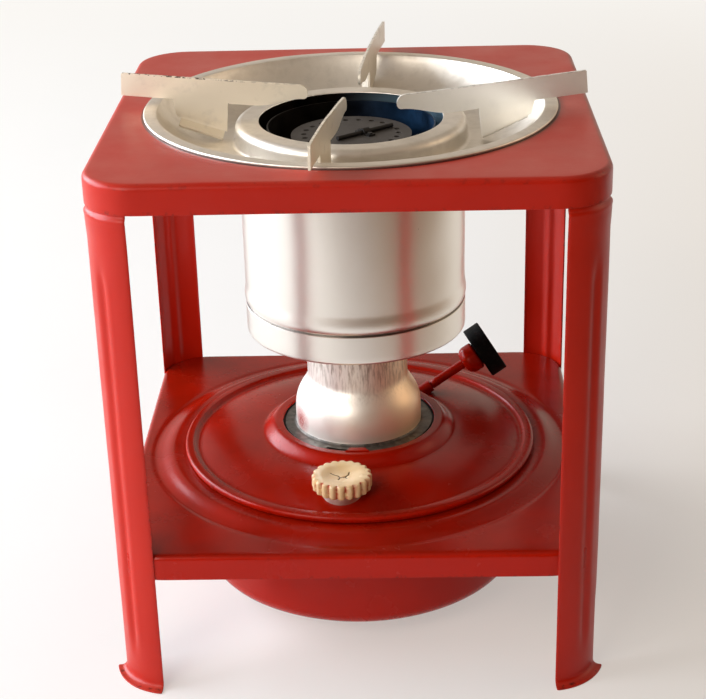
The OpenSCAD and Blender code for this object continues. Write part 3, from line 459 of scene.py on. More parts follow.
def drawn_brass():
    """Brass tube and gear stock, tarnished: yellow-brown, with lines along the draw."""
    made, tree, shader, place = new_material("tarnished_brass", **{"Metallic": 1.0})
    cloud = mottle(tree, place, 8, 5)
    lines = mottle(tree, place, 1.2, 3, (9, 9, 1))
    sheen = add(tree, "ShaderNodeMapRange", {0: lines, 1: 0.3, 2: 0.7, 3: 0.26, 4: 0.42}, 0)
    surface(tree, shader, coated(tree, "#8A6B34", (cloud, "#C9A558")), sheen, (lines, 0.02, 0.4))
    return made


def woven_cotton():
    """Cotton wick: off-white yarn in a plain weave 1.2 mm apart, charred at its top edge."""
    made, tree, shader, place = new_material("woven_cotton_wick", **{"Sheen Weight": 0.3, "Roughness": 0.9})
    height = add(tree, "ShaderNodeSeparateXYZ", {"Vector": place}, "Z")
    yarn = 1.2
    rows = add(tree, "ShaderNodeMath", {0: height, 1: 2 * math.pi * per_mm(yarn)}, 0, operation="MULTIPLY")
    weft = add(tree, "ShaderNodeMath", {0: rows}, 0, operation="SINE")
    raised = add(tree, "ShaderNodeMapRange", {0: weft, 1: -1, 2: 1}, 0)
    top = box_mm("wick")[1].z
    char = add(tree, "ShaderNodeMapRange", {0: height, 1: (top - 5) * MM, 2: (top - 1) * MM}, 0)
    colour = coated(tree, "#B9AE93", (raised, "#E2D9C2"), (char, "#1A1512"))
    surface(tree, shader, colour, None, (weft, 0.15, 0.8))
    return made


def graphited_cord():
    """Packing cord rubbed with graphite: dark grey and fibrous."""
    made, tree, shader, place = new_material("graphited_cord", **{"Roughness": 0.7})
    fibre = mottle(tree, place, 0.8, 4, (1, 6, 6))
    surface(tree, shader, coated(tree, "#202124", (fibre, "#4A4B4E")), None, (fibre, 0.08, 0.7))
    return made


def cork_washer():
    """Ground cork bound with rubber: brown grains of half a millimetre to two."""
    made, tree, shader, place = new_material("cork_washer", **{"Roughness": 0.85})
    grain = add(tree, "ShaderNodeTexVoronoi", {"Vector": place, "Scale": per_mm(1.3)}, "Color")
    pick = add(tree, "ShaderNodeSeparateColor", {"Color": grain}, 0)
    surface(tree, shader, coated(tree, "#6E4B2C", (pick, "#B98A58")), None, (pick, 0.1, 0.6))
    return made


def black_phenolic():
    """Moulded black phenolic knob: nearly matt, with the mould's faint texture and rubbed rims."""
    made, tree, shader, place = new_material("black_phenolic", **{"IOR": 1.55, "Specular IOR Level": 0.08})
    cloud = mottle(tree, place, 6, 4)
    rubbed = broken_up(tree, place, "edge", 1.8, 4, 0.5, 0.75)
    sheen = add(tree, "ShaderNodeMapRange", {0: cloud, 1: 0.3, 2: 0.7, 3: 0.5, 4: 0.66}, 0)
    mould = mottle(tree, place, 0.7, 2)
    surface(tree, shader, coated(tree, "#010101", (cloud, "#040404"), (rubbed, "#161514")), sheen,
            (mould, 0.02, 0.4))
    return made


def aged_ivory_plastic():
    """Moulded white plastic yellowed with age, stained red in its grooves and brown in its cracks."""
    made, tree, shader, place = new_material(
        "aged_ivory_plastic",
        **{"IOR": 1.49, "Subsurface Weight": 0.15, "Subsurface Radius": (0.004, 0.003, 0.002)})
    cloud = mottle(tree, place, 9, 4)
    paint = broken_up(tree, place, "groove", 4.5, 3, 0.42, 0.54)
    crack = add(tree, "ShaderNodeAttribute", out="Fac", attribute_name="crack")
    colour = coated(tree, "#D8B67F", (cloud, "#EED6AC"), (paint, "#B8402C"), (crack, "#4A3420"))
    sheen = add(tree, "ShaderNodeMapRange", {0: cloud, 1: 0.3, 2: 0.7, 3: 0.16, 4: 0.28}, 0)
    surface(tree, shader, colour, sheen, (mottle(tree, place, 1.5, 3), 0.03, 0.3))
    return made


# --- Meshes ----------------------------------------------------------------------------------------
def link_piece(name, mesh, body, replaces=()):
    """Puts a finished mesh in the scene as a piece that rides on a body."""
    piece = bpy.data.objects.new(name, mesh)
    scene.collection.objects.link(piece)
    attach(piece, body)
    if replaces:
        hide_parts(*replaces)
    return piece


def smooth(mesh, sharp=38.0):
    """Smooth shading with sharp edges over an angle."""
    mesh.polygons.foreach_set("use_smooth", [True] * len(mesh.polygons))
    mesh.set_sharp_from_angle(angle=math.radians(sharp))
    mesh.update()


def grid_mesh(name, rows, finish, edge, closed=False):
    """Mesh of quads on rows of points in millimetres, seen from the side that row x column faces.

    edge is how much each point lies on a worn edge. closed joins the last column to the first."""
    rows = np.asarray(rows, float)
    count, width = rows.shape[:2]
    faces = []
    for i in range(count - 1):
        for j in range(width if closed else width - 1):
            k = (j + 1) % width
            faces.append((i * width + j, i * width + k, (i + 1) * width + k, (i + 1) * width + j))
    mesh = bpy.data.meshes.new(name)
    mesh.from_pydata((rows.reshape(-1, 3) * MM).tolist(), [], faces)
    layer = mesh.attributes.new("edge", "FLOAT", "POINT")
    layer.data.foreach_set("value", np.asarray(edge, np.float32).ravel())
    mesh.materials.append(finish)
    smooth(mesh)
    return mesh


def give_wall(piece, thickness, rim=0.22, inner_material=False, centred=False):
    """Gives a sheet its thickness inwards, or to both sides if centred, and rounds its cut edges.

    inner_material gives the inside the piece's next finish."""
    wall = piece.modifiers.new("wall", "SOLIDIFY")
    wall.thickness = thickness * MM
    wall.offset = 0 if centred else -1
    wall.use_even_offset = True
    wall.material_offset = 1 if inner_material else 0
    edge = piece.modifiers.new("rim", "BEVEL")
    edge.width = rim * MM
    edge.segments = 2
    edge.limit_method = "ANGLE"
    edge.angle_limit = math.radians(50)
    edge.harden_normals = True


def arc(centre, r, start, end, steps=8):
    """Points of an arc in the plane of a profile, angles in degrees."""
    angles = [math.radians(start + (end - start) * i / steps) for i in range(steps + 1)]
    return [(centre[0] + r * math.cos(a), centre[1] + r * math.sin(a)) for a in angles]


def ease(share):
    """0 to 1 as share goes from 0 to 1, slow at both ends."""
    return (1 - math.cos(math.pi * share)) / 2


def s_curve(low, high, steps=16, lean=1.0):
    """Smooth S from low to high, upright at both ends; a lean over 1 keeps it near low for longer."""
    return [(low[0] + (high[0] - low[0]) * ease((i / steps) ** lean), low[1] + (high[1] - low[1]) * i / steps)
            for i in range(steps + 1)]


def divided(points, step):
    """The same line with points no further apart than step."""
    out = [points[0]]
    for a, b in zip(points, points[1:]):
        parts = max(1, math.ceil(math.dist(a, b) / step))
        out += [tuple(p + (q - p) * i / parts for p, q in zip(a, b)) for i in range(1, parts + 1)]
    return out


def wobble(point, size, seed):
    """Smooth noise from -1 to 1 with bumps of this size in millimetres."""
    return noise.noise(Vector(point) / size + Vector((seed * 7.3, seed * 3.1, seed * 5.7)))


# --- Geometry Nodes: sheets spun about an axis -------------------------------------------------------
def spun_sheet_tree():
    """Turns a profile, a line of points in the XZ plane, about the Z axis.

    Dents move the surface along its normal. Lobes scallop the points whose "lobe" is 1."""
    tree = bpy.data.node_groups.new("spun_sheet", "GeometryNodeTree")
    tree.interface.new_socket("Profile", in_out="INPUT", socket_type="NodeSocketGeometry")
    for name, kind, value in (("Segments", "Int", 256), ("Dent Size", "Float", 0.04),
                              ("Dent Depth", "Float", 0.0), ("Seed", "Float", 0.0),
                              ("Lobes", "Int", 0), ("Lobe Depth", "Float", 0.0)):
        socket = tree.interface.new_socket(name, in_out="INPUT", socket_type="NodeSocket" + kind)
        socket.default_value = value
    tree.interface.new_socket("Finish", in_out="INPUT", socket_type="NodeSocketMaterial")
    tree.interface.new_socket("Sheet", in_out="OUTPUT", socket_type="NodeSocketGeometry")
    given = add(tree, "NodeGroupInput").outputs

    # A grid whose rows are the profile's points and whose columns go round the axis.
    points = add(tree, "GeometryNodeAttributeDomainSize", {"Geometry": given["Profile"]}, 0)
    columns = add(tree, "ShaderNodeMath", {0: given["Segments"], 1: 1.0}, 0, operation="ADD")
    grid = add(tree, "GeometryNodeMeshGrid", {"Vertices X": points, "Vertices Y": columns}, "Mesh")
    index = add(tree, "GeometryNodeInputIndex", out=0)
    middle = add(tree, "ShaderNodeMath", {0: index, 1: 0.5}, 0, operation="ADD")
    rows_done = add(tree, "ShaderNodeMath", {0: middle, 1: columns}, 0, operation="DIVIDE")
    row = add(tree, "ShaderNodeMath", {0: rows_done}, 0, operation="FLOOR")
    row_start = add(tree, "ShaderNodeMath", {0: row, 1: columns}, 0, operation="MULTIPLY")
    column = add(tree, "ShaderNodeMath", {0: index, 1: row_start}, 0, operation="SUBTRACT")
    share = add(tree, "ShaderNodeMath", {0: column, 1: given["Segments"]}, 0, operation="DIVIDE")
    angle = add(tree, "ShaderNodeMath", {0: share, 1: 2 * math.pi}, 0, operation="MULTIPLY")

    # The profile's point and its lobe for each row.
    position = add(tree, "GeometryNodeInputPosition", out=0)
    profile_point = {"Geometry": given["Profile"], "Value": position, "Index": row}
    spot = add(tree, "GeometryNodeSampleIndex", profile_point, "Value", data_type="FLOAT_VECTOR")
    lobe = add(tree, "GeometryNodeInputNamedAttribute", {"Name": "lobe"}, "Attribute", data_type="FLOAT")
    profile_lobe = {"Geometry": given["Profile"], "Value": lobe, "Index": row}
    lobed = add(tree, "GeometryNodeSampleIndex", profile_lobe, "Value", data_type="FLOAT")
    profile = add(tree, "ShaderNodeSeparateXYZ", {"Vector": spot})

    # Scallops: hollow between two lobes, proud in the middle of each.
    turns = add(tree, "ShaderNodeMath", {0: angle, 1: given["Lobes"]}, 0, operation="MULTIPLY")
    half_turns = add(tree, "ShaderNodeMath", {0: turns, 1: 2.0}, 0, operation="DIVIDE")
    wave = add(tree, "ShaderNodeMath", {0: half_turns}, 0, operation="COSINE")
    proud = add(tree, "ShaderNodeMath", {0: wave}, 0, operation="ABSOLUTE")
    hollow = add(tree, "ShaderNodeMath", {0: 1.0, 1: proud}, 0, operation="SUBTRACT")
    rounded = add(tree, "ShaderNodeMath", {0: hollow, 1: 1.15}, 0, operation="POWER")
    full_depth = add(tree, "ShaderNodeMath", {0: rounded, 1: given["Lobe Depth"]}, 0, operation="MULTIPLY")
    depth = add(tree, "ShaderNodeMath", {0: full_depth, 1: lobed}, 0, operation="MULTIPLY")
    radius = add(tree, "ShaderNodeMath", {0: profile.outputs["X"], 1: depth}, 0, operation="SUBTRACT")
    cosine = add(tree, "ShaderNodeMath", {0: angle}, 0, operation="COSINE")
    sine = add(tree, "ShaderNodeMath", {0: angle}, 0, operation="SINE")
    x = add(tree, "ShaderNodeMath", {0: radius, 1: cosine}, 0, operation="MULTIPLY")
    y = add(tree, "ShaderNodeMath", {0: radius, 1: sine}, 0, operation="MULTIPLY")
    turned_point = add(tree, "ShaderNodeCombineXYZ", {"X": x, "Y": y, "Z": profile.outputs["Z"]}, 0)
    placed = add(tree, "GeometryNodeSetPosition", {"Geometry": grid, "Position": turned_point}, 0)
    groove = add(tree, "ShaderNodeMath", {0: hollow, 1: lobed}, 0, operation="MULTIPLY")
    mark = {"Geometry": placed, "Name": "groove", "Value": groove}
    marked = add(tree, "GeometryNodeStoreNamedAttribute", mark, 0, data_type="FLOAT", domain="POINT")
    outward = add(tree, "GeometryNodeFlipFaces", {"Mesh": marked}, 0)
    closed = add(tree, "GeometryNodeMergeByDistance", {"Geometry": outward, "Distance": 1e-6}, 0)

    # Dents along the normal.
    scale = add(tree, "ShaderNodeMath", {0: 1.0, 1: given["Dent Size"]}, 0, operation="DIVIDE")
    spots = add(tree, "GeometryNodeInputPosition", out=0)
    noise_at = {"Vector": spots, "W": given["Seed"], "Scale": scale, "Detail": 1.5}
    field = add(tree, "ShaderNodeTexNoise", noise_at, "Fac", noise_dimensions="4D")
    both_ways = add(tree, "ShaderNodeMath", {0: field, 1: 0.5}, 0, operation="SUBTRACT")
    push = add(tree, "ShaderNodeMath", {0: both_ways, 1: given["Dent Depth"]}, 0, operation="MULTIPLY")
    normal = add(tree, "GeometryNodeInputNormal", out=0)
    along = add(tree, "ShaderNodeVectorMath", {0: normal, "Scale": push}, 0, operation="SCALE")
    dented = add(tree, "GeometryNodeSetPosition", {"Geometry": closed, "Offset": along}, 0)
    whole = add(tree, "GeometryNodeRealizeInstances", {"Geometry": dented}, 0)
    finished = add(tree, "GeometryNodeSetMaterial", {"Geometry": whole, "Material": given["Finish"]}, 0)
    add(tree, "NodeGroupOutput", {"Sheet": finished})
    return tree


def run_tree(tree, seed_mesh, values):
    """Runs a Geometry Nodes tree on a mesh and returns the result as a plain mesh."""
    source = bpy.data.objects.new("seed", seed_mesh)
    scene.collection.objects.link(source)
    modifier = source.modifiers.new("shape", "NODES")
    modifier.node_group = tree
    for item in tree.interface.items_tree:
        if item.in_out == "INPUT" and item.name in values:
            modifier[item.identifier] = values[item.name]
    graph = bpy.context.evaluated_depsgraph_get()
    mesh = bpy.data.meshes.new_from_object(source.evaluated_get(graph))
    bpy.data.objects.remove(source)
    return mesh


def spun(name, profile, finish, body, replaces=(), segments=256, dents=(40, 0), seed=0,
         lobes=0, lobe_depth=0.0, lobe_at=None, place=None, inner=None, edge_at=None):
    """A piece turned about the Z axis, or about the axis of place. profile is (radius, height) in mm.

    The wall is to the left of the profile's direction. dents are (size, depth) in millimetres."""
    line = bpy.data.meshes.new(name + "_profile")
    steps = [(i, i + 1) for i in range(len(profile) - 1)]
    line.from_pydata([(r * MM, 0, z * MM) for r, z in profile], steps, [])
    layer = line.attributes.new("lobe", "FLOAT", "POINT")
    layer.data.foreach_set("value", [lobe_at(r, z) if lobe_at else 0.0 for r, z in profile])
    mesh = run_tree(SPUN_SHEET, line, {
        "Segments": segments, "Dent Size": dents[0] * MM, "Dent Depth": dents[1] * MM,
        "Seed": float(seed), "Lobes": lobes, "Lobe Depth": lobe_depth * MM, "Finish": finish,
    })
    mesh.name = name
    mesh.materials.clear()
    mesh.materials.append(finish)
    mesh.polygons.foreach_set("material_index", [0] * len(mesh.polygons))
    if edge_at:
        spots = np.array([v.co for v in mesh.vertices]) / MM
        values = [edge_at(math.hypot(x, y), z) for x, y, z in spots]
        mesh.attributes.new("edge", "FLOAT", "POINT").data.foreach_set("value", values)
    if place is not None:
        mesh.transform(place)
    if inner:
        mesh.materials.append(inner)
    smooth(mesh)
    return link_piece(name, mesh, body, replaces)


# --- Stand -----------------------------------------------------------------------------------------
def rounded_square(half, corner, angle):
    """Point of a square with rounded corners, on the ray at this angle."""
    a, b = abs(math.cos(angle)), abs(math.sin(angle))
    side = half - corner
    if half * b <= side * a:
        reach = half / a
    elif half * a <= side * b:
        reach = half / b
    else:
        reach = side * (a + b) + math.sqrt(max(0.0, (side * (a + b)) ** 2 - 2 * side ** 2 + corner ** 2))
    return reach * math.cos(angle), reach * math.sin(angle)


def square_ring(half, corner, z, columns):
    """Ring of points round a square with rounded corners."""
    return [(*rounded_square(half, corner, 2 * math.pi * j / columns), z) for j in range(columns)]


def round_ring(r, z, columns):
    """Ring of points round a circle, on the same rays as a square ring."""
    return [(r * math.cos(2 * math.pi * j / columns), r * math.sin(2 * math.pi * j / columns), z)
            for j in range(columns)]


def tray_rings(half, corner, bottom, top, columns):
    """Rings up a tray's skirt and over its bend, onto its face."""
    rings = [square_ring(half, corner, bottom + (top - BEND_R - bottom) * i / 5, columns) for i in range(6)]
    for x, z in arc((0, 0), BEND_R, 0, 90, 8)[1:]:
        inset = BEND_R - x
        rings.append(square_ring(half - inset, corner - inset, top - BEND_R + z, columns))
    return rings


def make_top_plate(finish):
    """Square plate with a turned-down skirt, a round hole for the pan and soft waves in its face."""
    columns = 432
    hole_r = 97.8
    rings = tray_rings(PLATE_HIGH.x, CORNER_R, PLATE_LOW.z, PLATE_HIGH.z, columns)
    outer = rings[-1]
    inner = round_ring(hole_r, PLATE_HIGH.z, columns)
    steps = 14
    for i in range(1, steps + 1):
        share = i / steps
        calm = math.sin(math.pi * share) ** 2
        ring = []
        for a, b in zip(outer, inner):
            x, y = (p + (q - p) * share for p, q in zip(a[:2], b[:2]))
            ring.append((x, y, PLATE_HIGH.z + 0.35 * calm * wobble((x, y, 0), 42, 1)))
        rings.append(ring)
    edge = [[1.0 if i == 0 else 0.35 if 6 <= i <= 11 else 0.0] * columns for i in range(len(rings))]
    mesh = grid_mesh("stand_top_plate", rings, finish, edge, closed=True)
    piece = link_piece("stand_top_plate", mesh, "frame", ["top_plate"])
    give_wall(piece, SHEET)


def make_shelf(finish):
    """Shelf with a turned-down skirt and a soft raised ring round the tank."""
    columns = 432
    face_z = SHELF_HIGH.z - STEP_H
    ring_in_r = TANK_R + 1.0
    crest_r = STEP_R - 8.0
    rings = tray_rings(SHELF_HIGH.x, SHELF_CORNER_R, SHELF_LOW.z, face_z, columns)
    outer = rings[-1]
    valley_r = STEP_R + 6.0
    foot = round_ring(valley_r, face_z, columns)
    for i in range(1, 9):
        share = i / 8
        rings.append([tuple(p + (q - p) * share for p, q in zip(a, b)) for a, b in zip(outer, foot)])
    for i in range(1, 21):
        r = valley_r + (crest_r - valley_r) * i / 20
        climb = min(1, max(0, (STEP_R + 1.5 - r) / (STEP_R + 1.5 - crest_r)))
        dip = 0.4 * math.exp(-((r - STEP_R - 2.6) / 1.7) ** 2)
        rings.append(round_ring(r, face_z + STEP_H * ease(climb) - dip, columns))
    for i in range(1, 7):
        share = i / 6
        rings.append(round_ring(crest_r + (ring_in_r - crest_r) * share,
                                SHELF_HIGH.z - 0.5 * ease(min(1, 2 * share)), columns))
    edge = [[1.0 if i == 0 else 0.25 if 6 <= i <= 11 else 0.0] * columns for i in range(len(rings))]
    mesh = grid_mesh("stand_shelf", rings, finish, edge, closed=True)
    piece = link_piece("stand_shelf", mesh, "frame", ["shelf_plate"])
    give_wall(piece, SHEET)


def leg_profile():
    """(distance beyond the leg's radius, height) up a leg, from its foot's lip to under the skirt."""
    curl, flat = 3.0, 1.5
    skirt_z = PLATE_LOW.z
    shoulder = 0.45
    foot = [(curl + flat, SHEET), (curl + flat / 2, SHEET)] + arc((curl, SHEET + curl), curl, 270, 180, 8)
    shaft = divided([(0, SHEET + curl), (0, skirt_z - 18)], 4.0)[1:]
    swell = s_curve((0, skirt_z - 18), (shoulder, skirt_z - 5), 8)[1:]
    roll = [(shoulder + 0.2, skirt_z - 4), (shoulder + 0.1, skirt_z - 2.9), (shoulder - 0.5, skirt_z - 2),
            (-0.7, skirt_z - 1.3)]
    hidden = [(-SHEET, skirt_z - 0.6), (-SHEET, skirt_z + 4), (-SHEET, LEG_TOP_Z)]
    return foot + shaft + swell + roll + hidden


def window(value, low, high, soft):
    """1 between low and high, easing to 0 over a soft length at each end."""
    return ease(min(1, max(0, (value - low) / soft))) * ease(min(1, max(0, (high - value) / soft)))


def make_leg(name, node, side_x, side_y, finish, seed, narrowed=0.0):
    """Leg: a rounded sheet section with a groove down its corner, a swollen shoulder and a curled foot.

    narrowed cuts one edge back below the shelf, in degrees of the section."""
    columns = 44
    middle = math.atan2(side_y, side_x)
    groove_low, groove_high, groove_fade = 14.0, PLATE_LOW.z - 24, 16.0
    rows, edge = [], []
    for out, z in leg_profile():
        row, worn = [], []
        below = narrowed * ease(min(1, max(0, (52 - z) / 14)))
        for j in range(columns + 1):
            share = j / columns
            angle = math.radians(-LEG_ARC / 2 + share * (LEG_ARC - below))
            across = LEG_R * angle
            hollow = 1.1 * math.exp(-(across / 2.2) ** 2)
            shoulders = 0.16 * math.exp(-((abs(across) - 4.6) / 1.8) ** 2)
            groove = window(z, groove_low, groove_high, groove_fade) * (hollow - shoulders)
            turned_in = 0.35 * (max(0, abs(share - 0.5) - 0.46) / 0.04) ** 2
            r = LEG_R + out - groove - turned_in
            r += 0.12 * wobble((across * 2, side_x * 40, z), 26, seed)
            turn = middle + angle
            row.append((side_x * CORNER_AT + r * math.cos(turn), side_y * CORNER_AT + r * math.sin(turn), z))
            worn.append(1.0 if j in (0, columns) or z <= SHEET + 0.3 else 0.0)
        rows.append(row)
        edge.append(worn)
    mesh = grid_mesh(name, rows, finish, edge)
    piece = link_piece(name, mesh, "frame", [node])
    give_wall(piece, SHEET)


# --- Tank ------------------------------------------------------------------------------------------
def tank_top_profile():
    """From under the rolled seam, over it, into its groove, up the dome and the boss to the mouth."""
    seam_z, seam_top = TANK_LOW.z, TANK_LOW.z + 3.4
    roll = 1.6
    groove_r, groove_z = SEAM_R - 7.8, seam_top - 1.6
    dome_h = 5.6
    boss_foot = groove_z + dome_h
    dome = [(groove_r + (BOSS_R - groove_r) * i / 20,
             groove_z + dome_h * (1 - ((20 - i) / 20) ** 2)) for i in range(21)]
    boss = [(BOSS_R + (BOSS_TOP_R - BOSS_R) * i / 14,
             boss_foot + (BOSS_Z - boss_foot) * ease(i / 14)) for i in range(1, 15)]
    return (
        [(SEAM_R - 0.5, seam_z)] + arc((SEAM_R - roll, seam_z + roll + 0.05), roll, -30, 0, 4)
        + arc((SEAM_R - roll, seam_top - roll), roll, 0, 90, 8)
        + arc((SEAM_R - 4.0, seam_top - 1.0), 1.0, 90, 150, 5)
        + [(groove_r + 1.6, groove_z + 0.05)] + dome + boss
        + [(BOSS_TOP_R - 1.2, BOSS_Z), (MOUTH_R + 1.4, BOSS_Z - 0.05)]
        + arc((MOUTH_R + 0.9, BOSS_Z - 0.9), 0.9, 90, 180, 5) + [(MOUTH_R, BOSS_Z - 1.0)]
    )


def make_tank(finish):
    """Domed top with its rolled seam and boss, and the bowl that hangs below the shelf."""
    def seam_edge(r, z):
        return 0.5 if r > SEAM_R - 1.2 else 0.4 if r < MOUTH_R + 1.5 else 0.0

    top = spun("tank_domed_top", divided(tank_top_profile(), 3.0), finish, "frame",
               ["tank_top"], 320, (46, 0.5), 3, edge_at=seam_edge)
    give_wall(top, SHEET)
    base, edge_r = BOWL_LOW.z, 8.0
    rim_z = BOWL_HIGH.z - SHEET
    profile = [(19.6, base), (TANK_R - edge_r - 12, base), (TANK_R - edge_r - 6, base)]
    profile += arc((TANK_R - edge_r, base + edge_r), edge_r, 270, 360, 12)
    profile += [(TANK_R, rim_z - 1.5)] + arc((TANK_R + 1.5, rim_z - 1.5), 1.5, 180, 90, 5)
    profile += [(BOWL_HIGH.x, rim_z)]
    bowl = spun("tank_bowl_shell", divided(profile, 4.0), finish, "frame",
                ["tank_bowl"], 320, (50, 0.5), 4, edge_at=lambda r, z: 0.0)
    give_wall(bowl, SHEET)


def make_bayonet_tabs(finish):
    """Tabs turned into the mouth over the burner's flange, blunted by the enamel on them."""
    half_w, reach = TAB_W / 2, 3.0
    for number, az in enumerate(TABS_AZ):
        rows = []
        for i in range(9):
            share = i / 8
            r = MOUTH_R + 1.2 - (reach + 1.2) * share
            taper = half_w * (1 - 0.12 * share ** 2) + 1.6 * (1 - share) ** 3
            sink = 0.1 + 0.25 * share + (0.5 * (share - 0.85) / 0.15 if share > 0.85 else 0)
            rows.append([(r, -taper + 2 * taper * j / 10, BOSS_Z - sink) for j in range(11)])
        turn = math.radians(az)
        spots = np.array(rows)
        x, y = spots[..., 0].copy(), spots[..., 1].copy()
        spots[..., 0] = x * math.cos(turn) - y * math.sin(turn)
        spots[..., 1] = x * math.sin(turn) + y * math.cos(turn)
        edge = np.full(spots.shape[:2], 0.4)
        mesh = grid_mesh("bayonet_tab_%d" % number, spots[:, ::-1], finish, edge)
        give_wall(link_piece(mesh.name, mesh, "frame"), SHEET)


# --- Burner ----------------------------------------------------------------------------------------
def bell_profile():
    """From the flange's rim in, up the bell's waisted side to its neck."""
    flange_z = BELL_LOW.z + ALU
    return (
        [(BELL_HIGH.x, flange_z), (SLOT_R, flange_z), (BELL_R + 3.0, flange_z)]
        + arc((BELL_R + 1.5, flange_z + 1.5), 1.5, 270, 180, 6)[1:]
        + s_curve((BELL_R, flange_z + 2.4), (NECK_R, flange_z + BELL_H), 24, 2.1)
        + [(NECK_R, BELL_HIGH.z)]
    )


def cut_away(piece, gone):
    """Deletes the faces of a piece whose centre, in millimetres, is gone."""
    shape = bmesh.new()
    shape.from_mesh(piece.data)
    lost = [face for face in shape.faces if gone(face.calc_center_median() / MM)]
    bmesh.ops.delete(shape, geom=lost, context="FACES")
    shape.to_mesh(piece.data)
    shape.free()


def make_bell(finish, dull):
    """Spun bell; its flange is dull, and has slots that pass the bayonet tabs."""
    bell = spun("burner_bell_spun", divided(bell_profile(), 1.5), finish, "burner",
                ["burner_bell"], 360, (22, 0.5), 5)
    half_w = (TAB_W + TAB_PLAY) / 2

    def in_slot(spot):
        r = math.hypot(spot.x, spot.y)
        turn = math.degrees(math.atan2(spot.y, spot.x)) + UNLOCK_TURN
        off = min(abs((turn - az + 180) % 360 - 180) for az in TABS_AZ)
        return r > SLOT_R and spot.z < BELL_LOW.z + 1.5 and math.radians(off) * r < half_w

    cut_away(bell, in_slot)
    bell.data.materials.append(dull)
    for polygon in bell.data.polygons:
        if polygon.center.z < (BELL_LOW.z + ALU + 1.2) * MM:
            polygon.material_index = 1
    give_wall(bell, ALU)


def drum_profile():
    """From the lower band's edge up over the crease and the rolled bead to the drum's top."""
    bead_h, bead_out = 11.0, 0.75
    highest = 4 / 27  # the most that share * (1 - share) ** 2 reaches
    bead = []
    for i in range(1, 21):
        share = i / 20
        swell = share * (1 - share) ** 2 / highest
        bead.append((DRUM_R - 0.6 * (1 - share) ** 3 + bead_out * swell, CREASE_Z + bead_h * share))
    return ([(BAND_R - 0.5, DRUM_LOW.z), (BAND_R - 0.1, DRUM_LOW.z + 0.5), (BAND_R, DRUM_LOW.z + 1.2)]
            + [(BAND_R, CREASE_Z - 0.8), (BAND_R - 0.4, CREASE_Z - 0.45), (BAND_R - 1.0, CREASE_Z - 0.1),
               (BAND_R - 1.0, CREASE_Z + 0.1)]
            + bead + [(DRUM_R, DRUM_HIGH.z)])


def make_drum(finish, inner):
    """Spun drum with a crease and a bead, a few handling dents, and soot inside."""
    # Marks the crease for the painted shade that darkens it.
    def crease(r, z):
        return 1.0 if CREASE_Z - 0.6 < z < CREASE_Z + 0.3 else 0.0

    drum = spun("burner_drum", divided(drum_profile(), 3.0), finish, "burner",
                ["drum_shell"], 360, (60, 0.3), 6, inner=inner, edge_at=crease)
    dents = [((44.0, -36.0, 196.0), 15.0, 0.45), ((55.5, -10.0, 182.0), 9.0, 0.35),
             ((-30.0, -48.0, 206.0), 14.0, 0.2), ((20.0, 53.0, 190.0), 16.0, 0.5)]
    for vertex in drum.data.vertices:
        spot = vertex.co / MM
        out = Vector((spot.x, spot.y, 0)).normalized()
        for centre, size, depth in dents:
            away = (spot - Vector(centre)).length / size
            vertex.co -= out * depth * MM * math.exp(-away ** 2)
    give_wall(drum, ALU, inner_material=True)


def pan_profile():
    """From the lip's edge in, down the wall, over the floor and up the collar to the flame hole."""
    lip_r, lip_z = PAN_HIGH.x, PAN_HIGH.z
    collar_h, collar_edge = 11.0, 4.0
    steepest = math.degrees(math.asin((PAN_WALL_R - PAN_FLOOR_R) / PAN_WALL_ARC))
    collar_z = PAN_FLOOR_Z + collar_h
    return (
        [(lip_r - 0.2, lip_z - 1.45)] + arc((lip_r - 0.8, lip_z - 0.8), 0.8, 0, 90, 5)
        + [(PAN_WALL_R + 1.4, lip_z), (PAN_WALL_R + 0.5, lip_z - 0.25)]
        + arc((PAN_FLOOR_R, PAN_FLOOR_Z + PAN_WALL_ARC), PAN_WALL_ARC, steepest - 90, -90, 26)
        + arc((COLLAR_R + 2, PAN_FLOOR_Z + 2), 2, 270, 180, 7)
        + arc((COLLAR_R - collar_edge, collar_z - collar_edge), collar_edge, 0, 90, 12)
        + [(FLAME_HOLE_R + 0.8, collar_z)] + arc((FLAME_HOLE_R + 0.5, collar_z - 0.5), 0.5, 90, 180, 3)
    )


def make_pan(finish):
    """Drip pan: a flat lip, a curved wall and a raised collar over the drum."""
    pan = spun("drip_pan_spun", divided(pan_profile(), 2.0), finish, "pan",
               ["drip_pan"], 360, (30, 0.45), 8)
    give_wall(pan, ALU - 0.05, rim=0.15)


# --- Pot supports ----------------------------------------------------------------------------------
def pan_floor_at(r):
    """Height of the pan's floor, or of its curved wall, at a distance from the axis."""
    out = max(0, r - PAN_FLOOR_R)
    return PAN_FLOOR_Z + PAN_WALL_ARC - math.sqrt(PAN_WALL_ARC ** 2 - out ** 2)


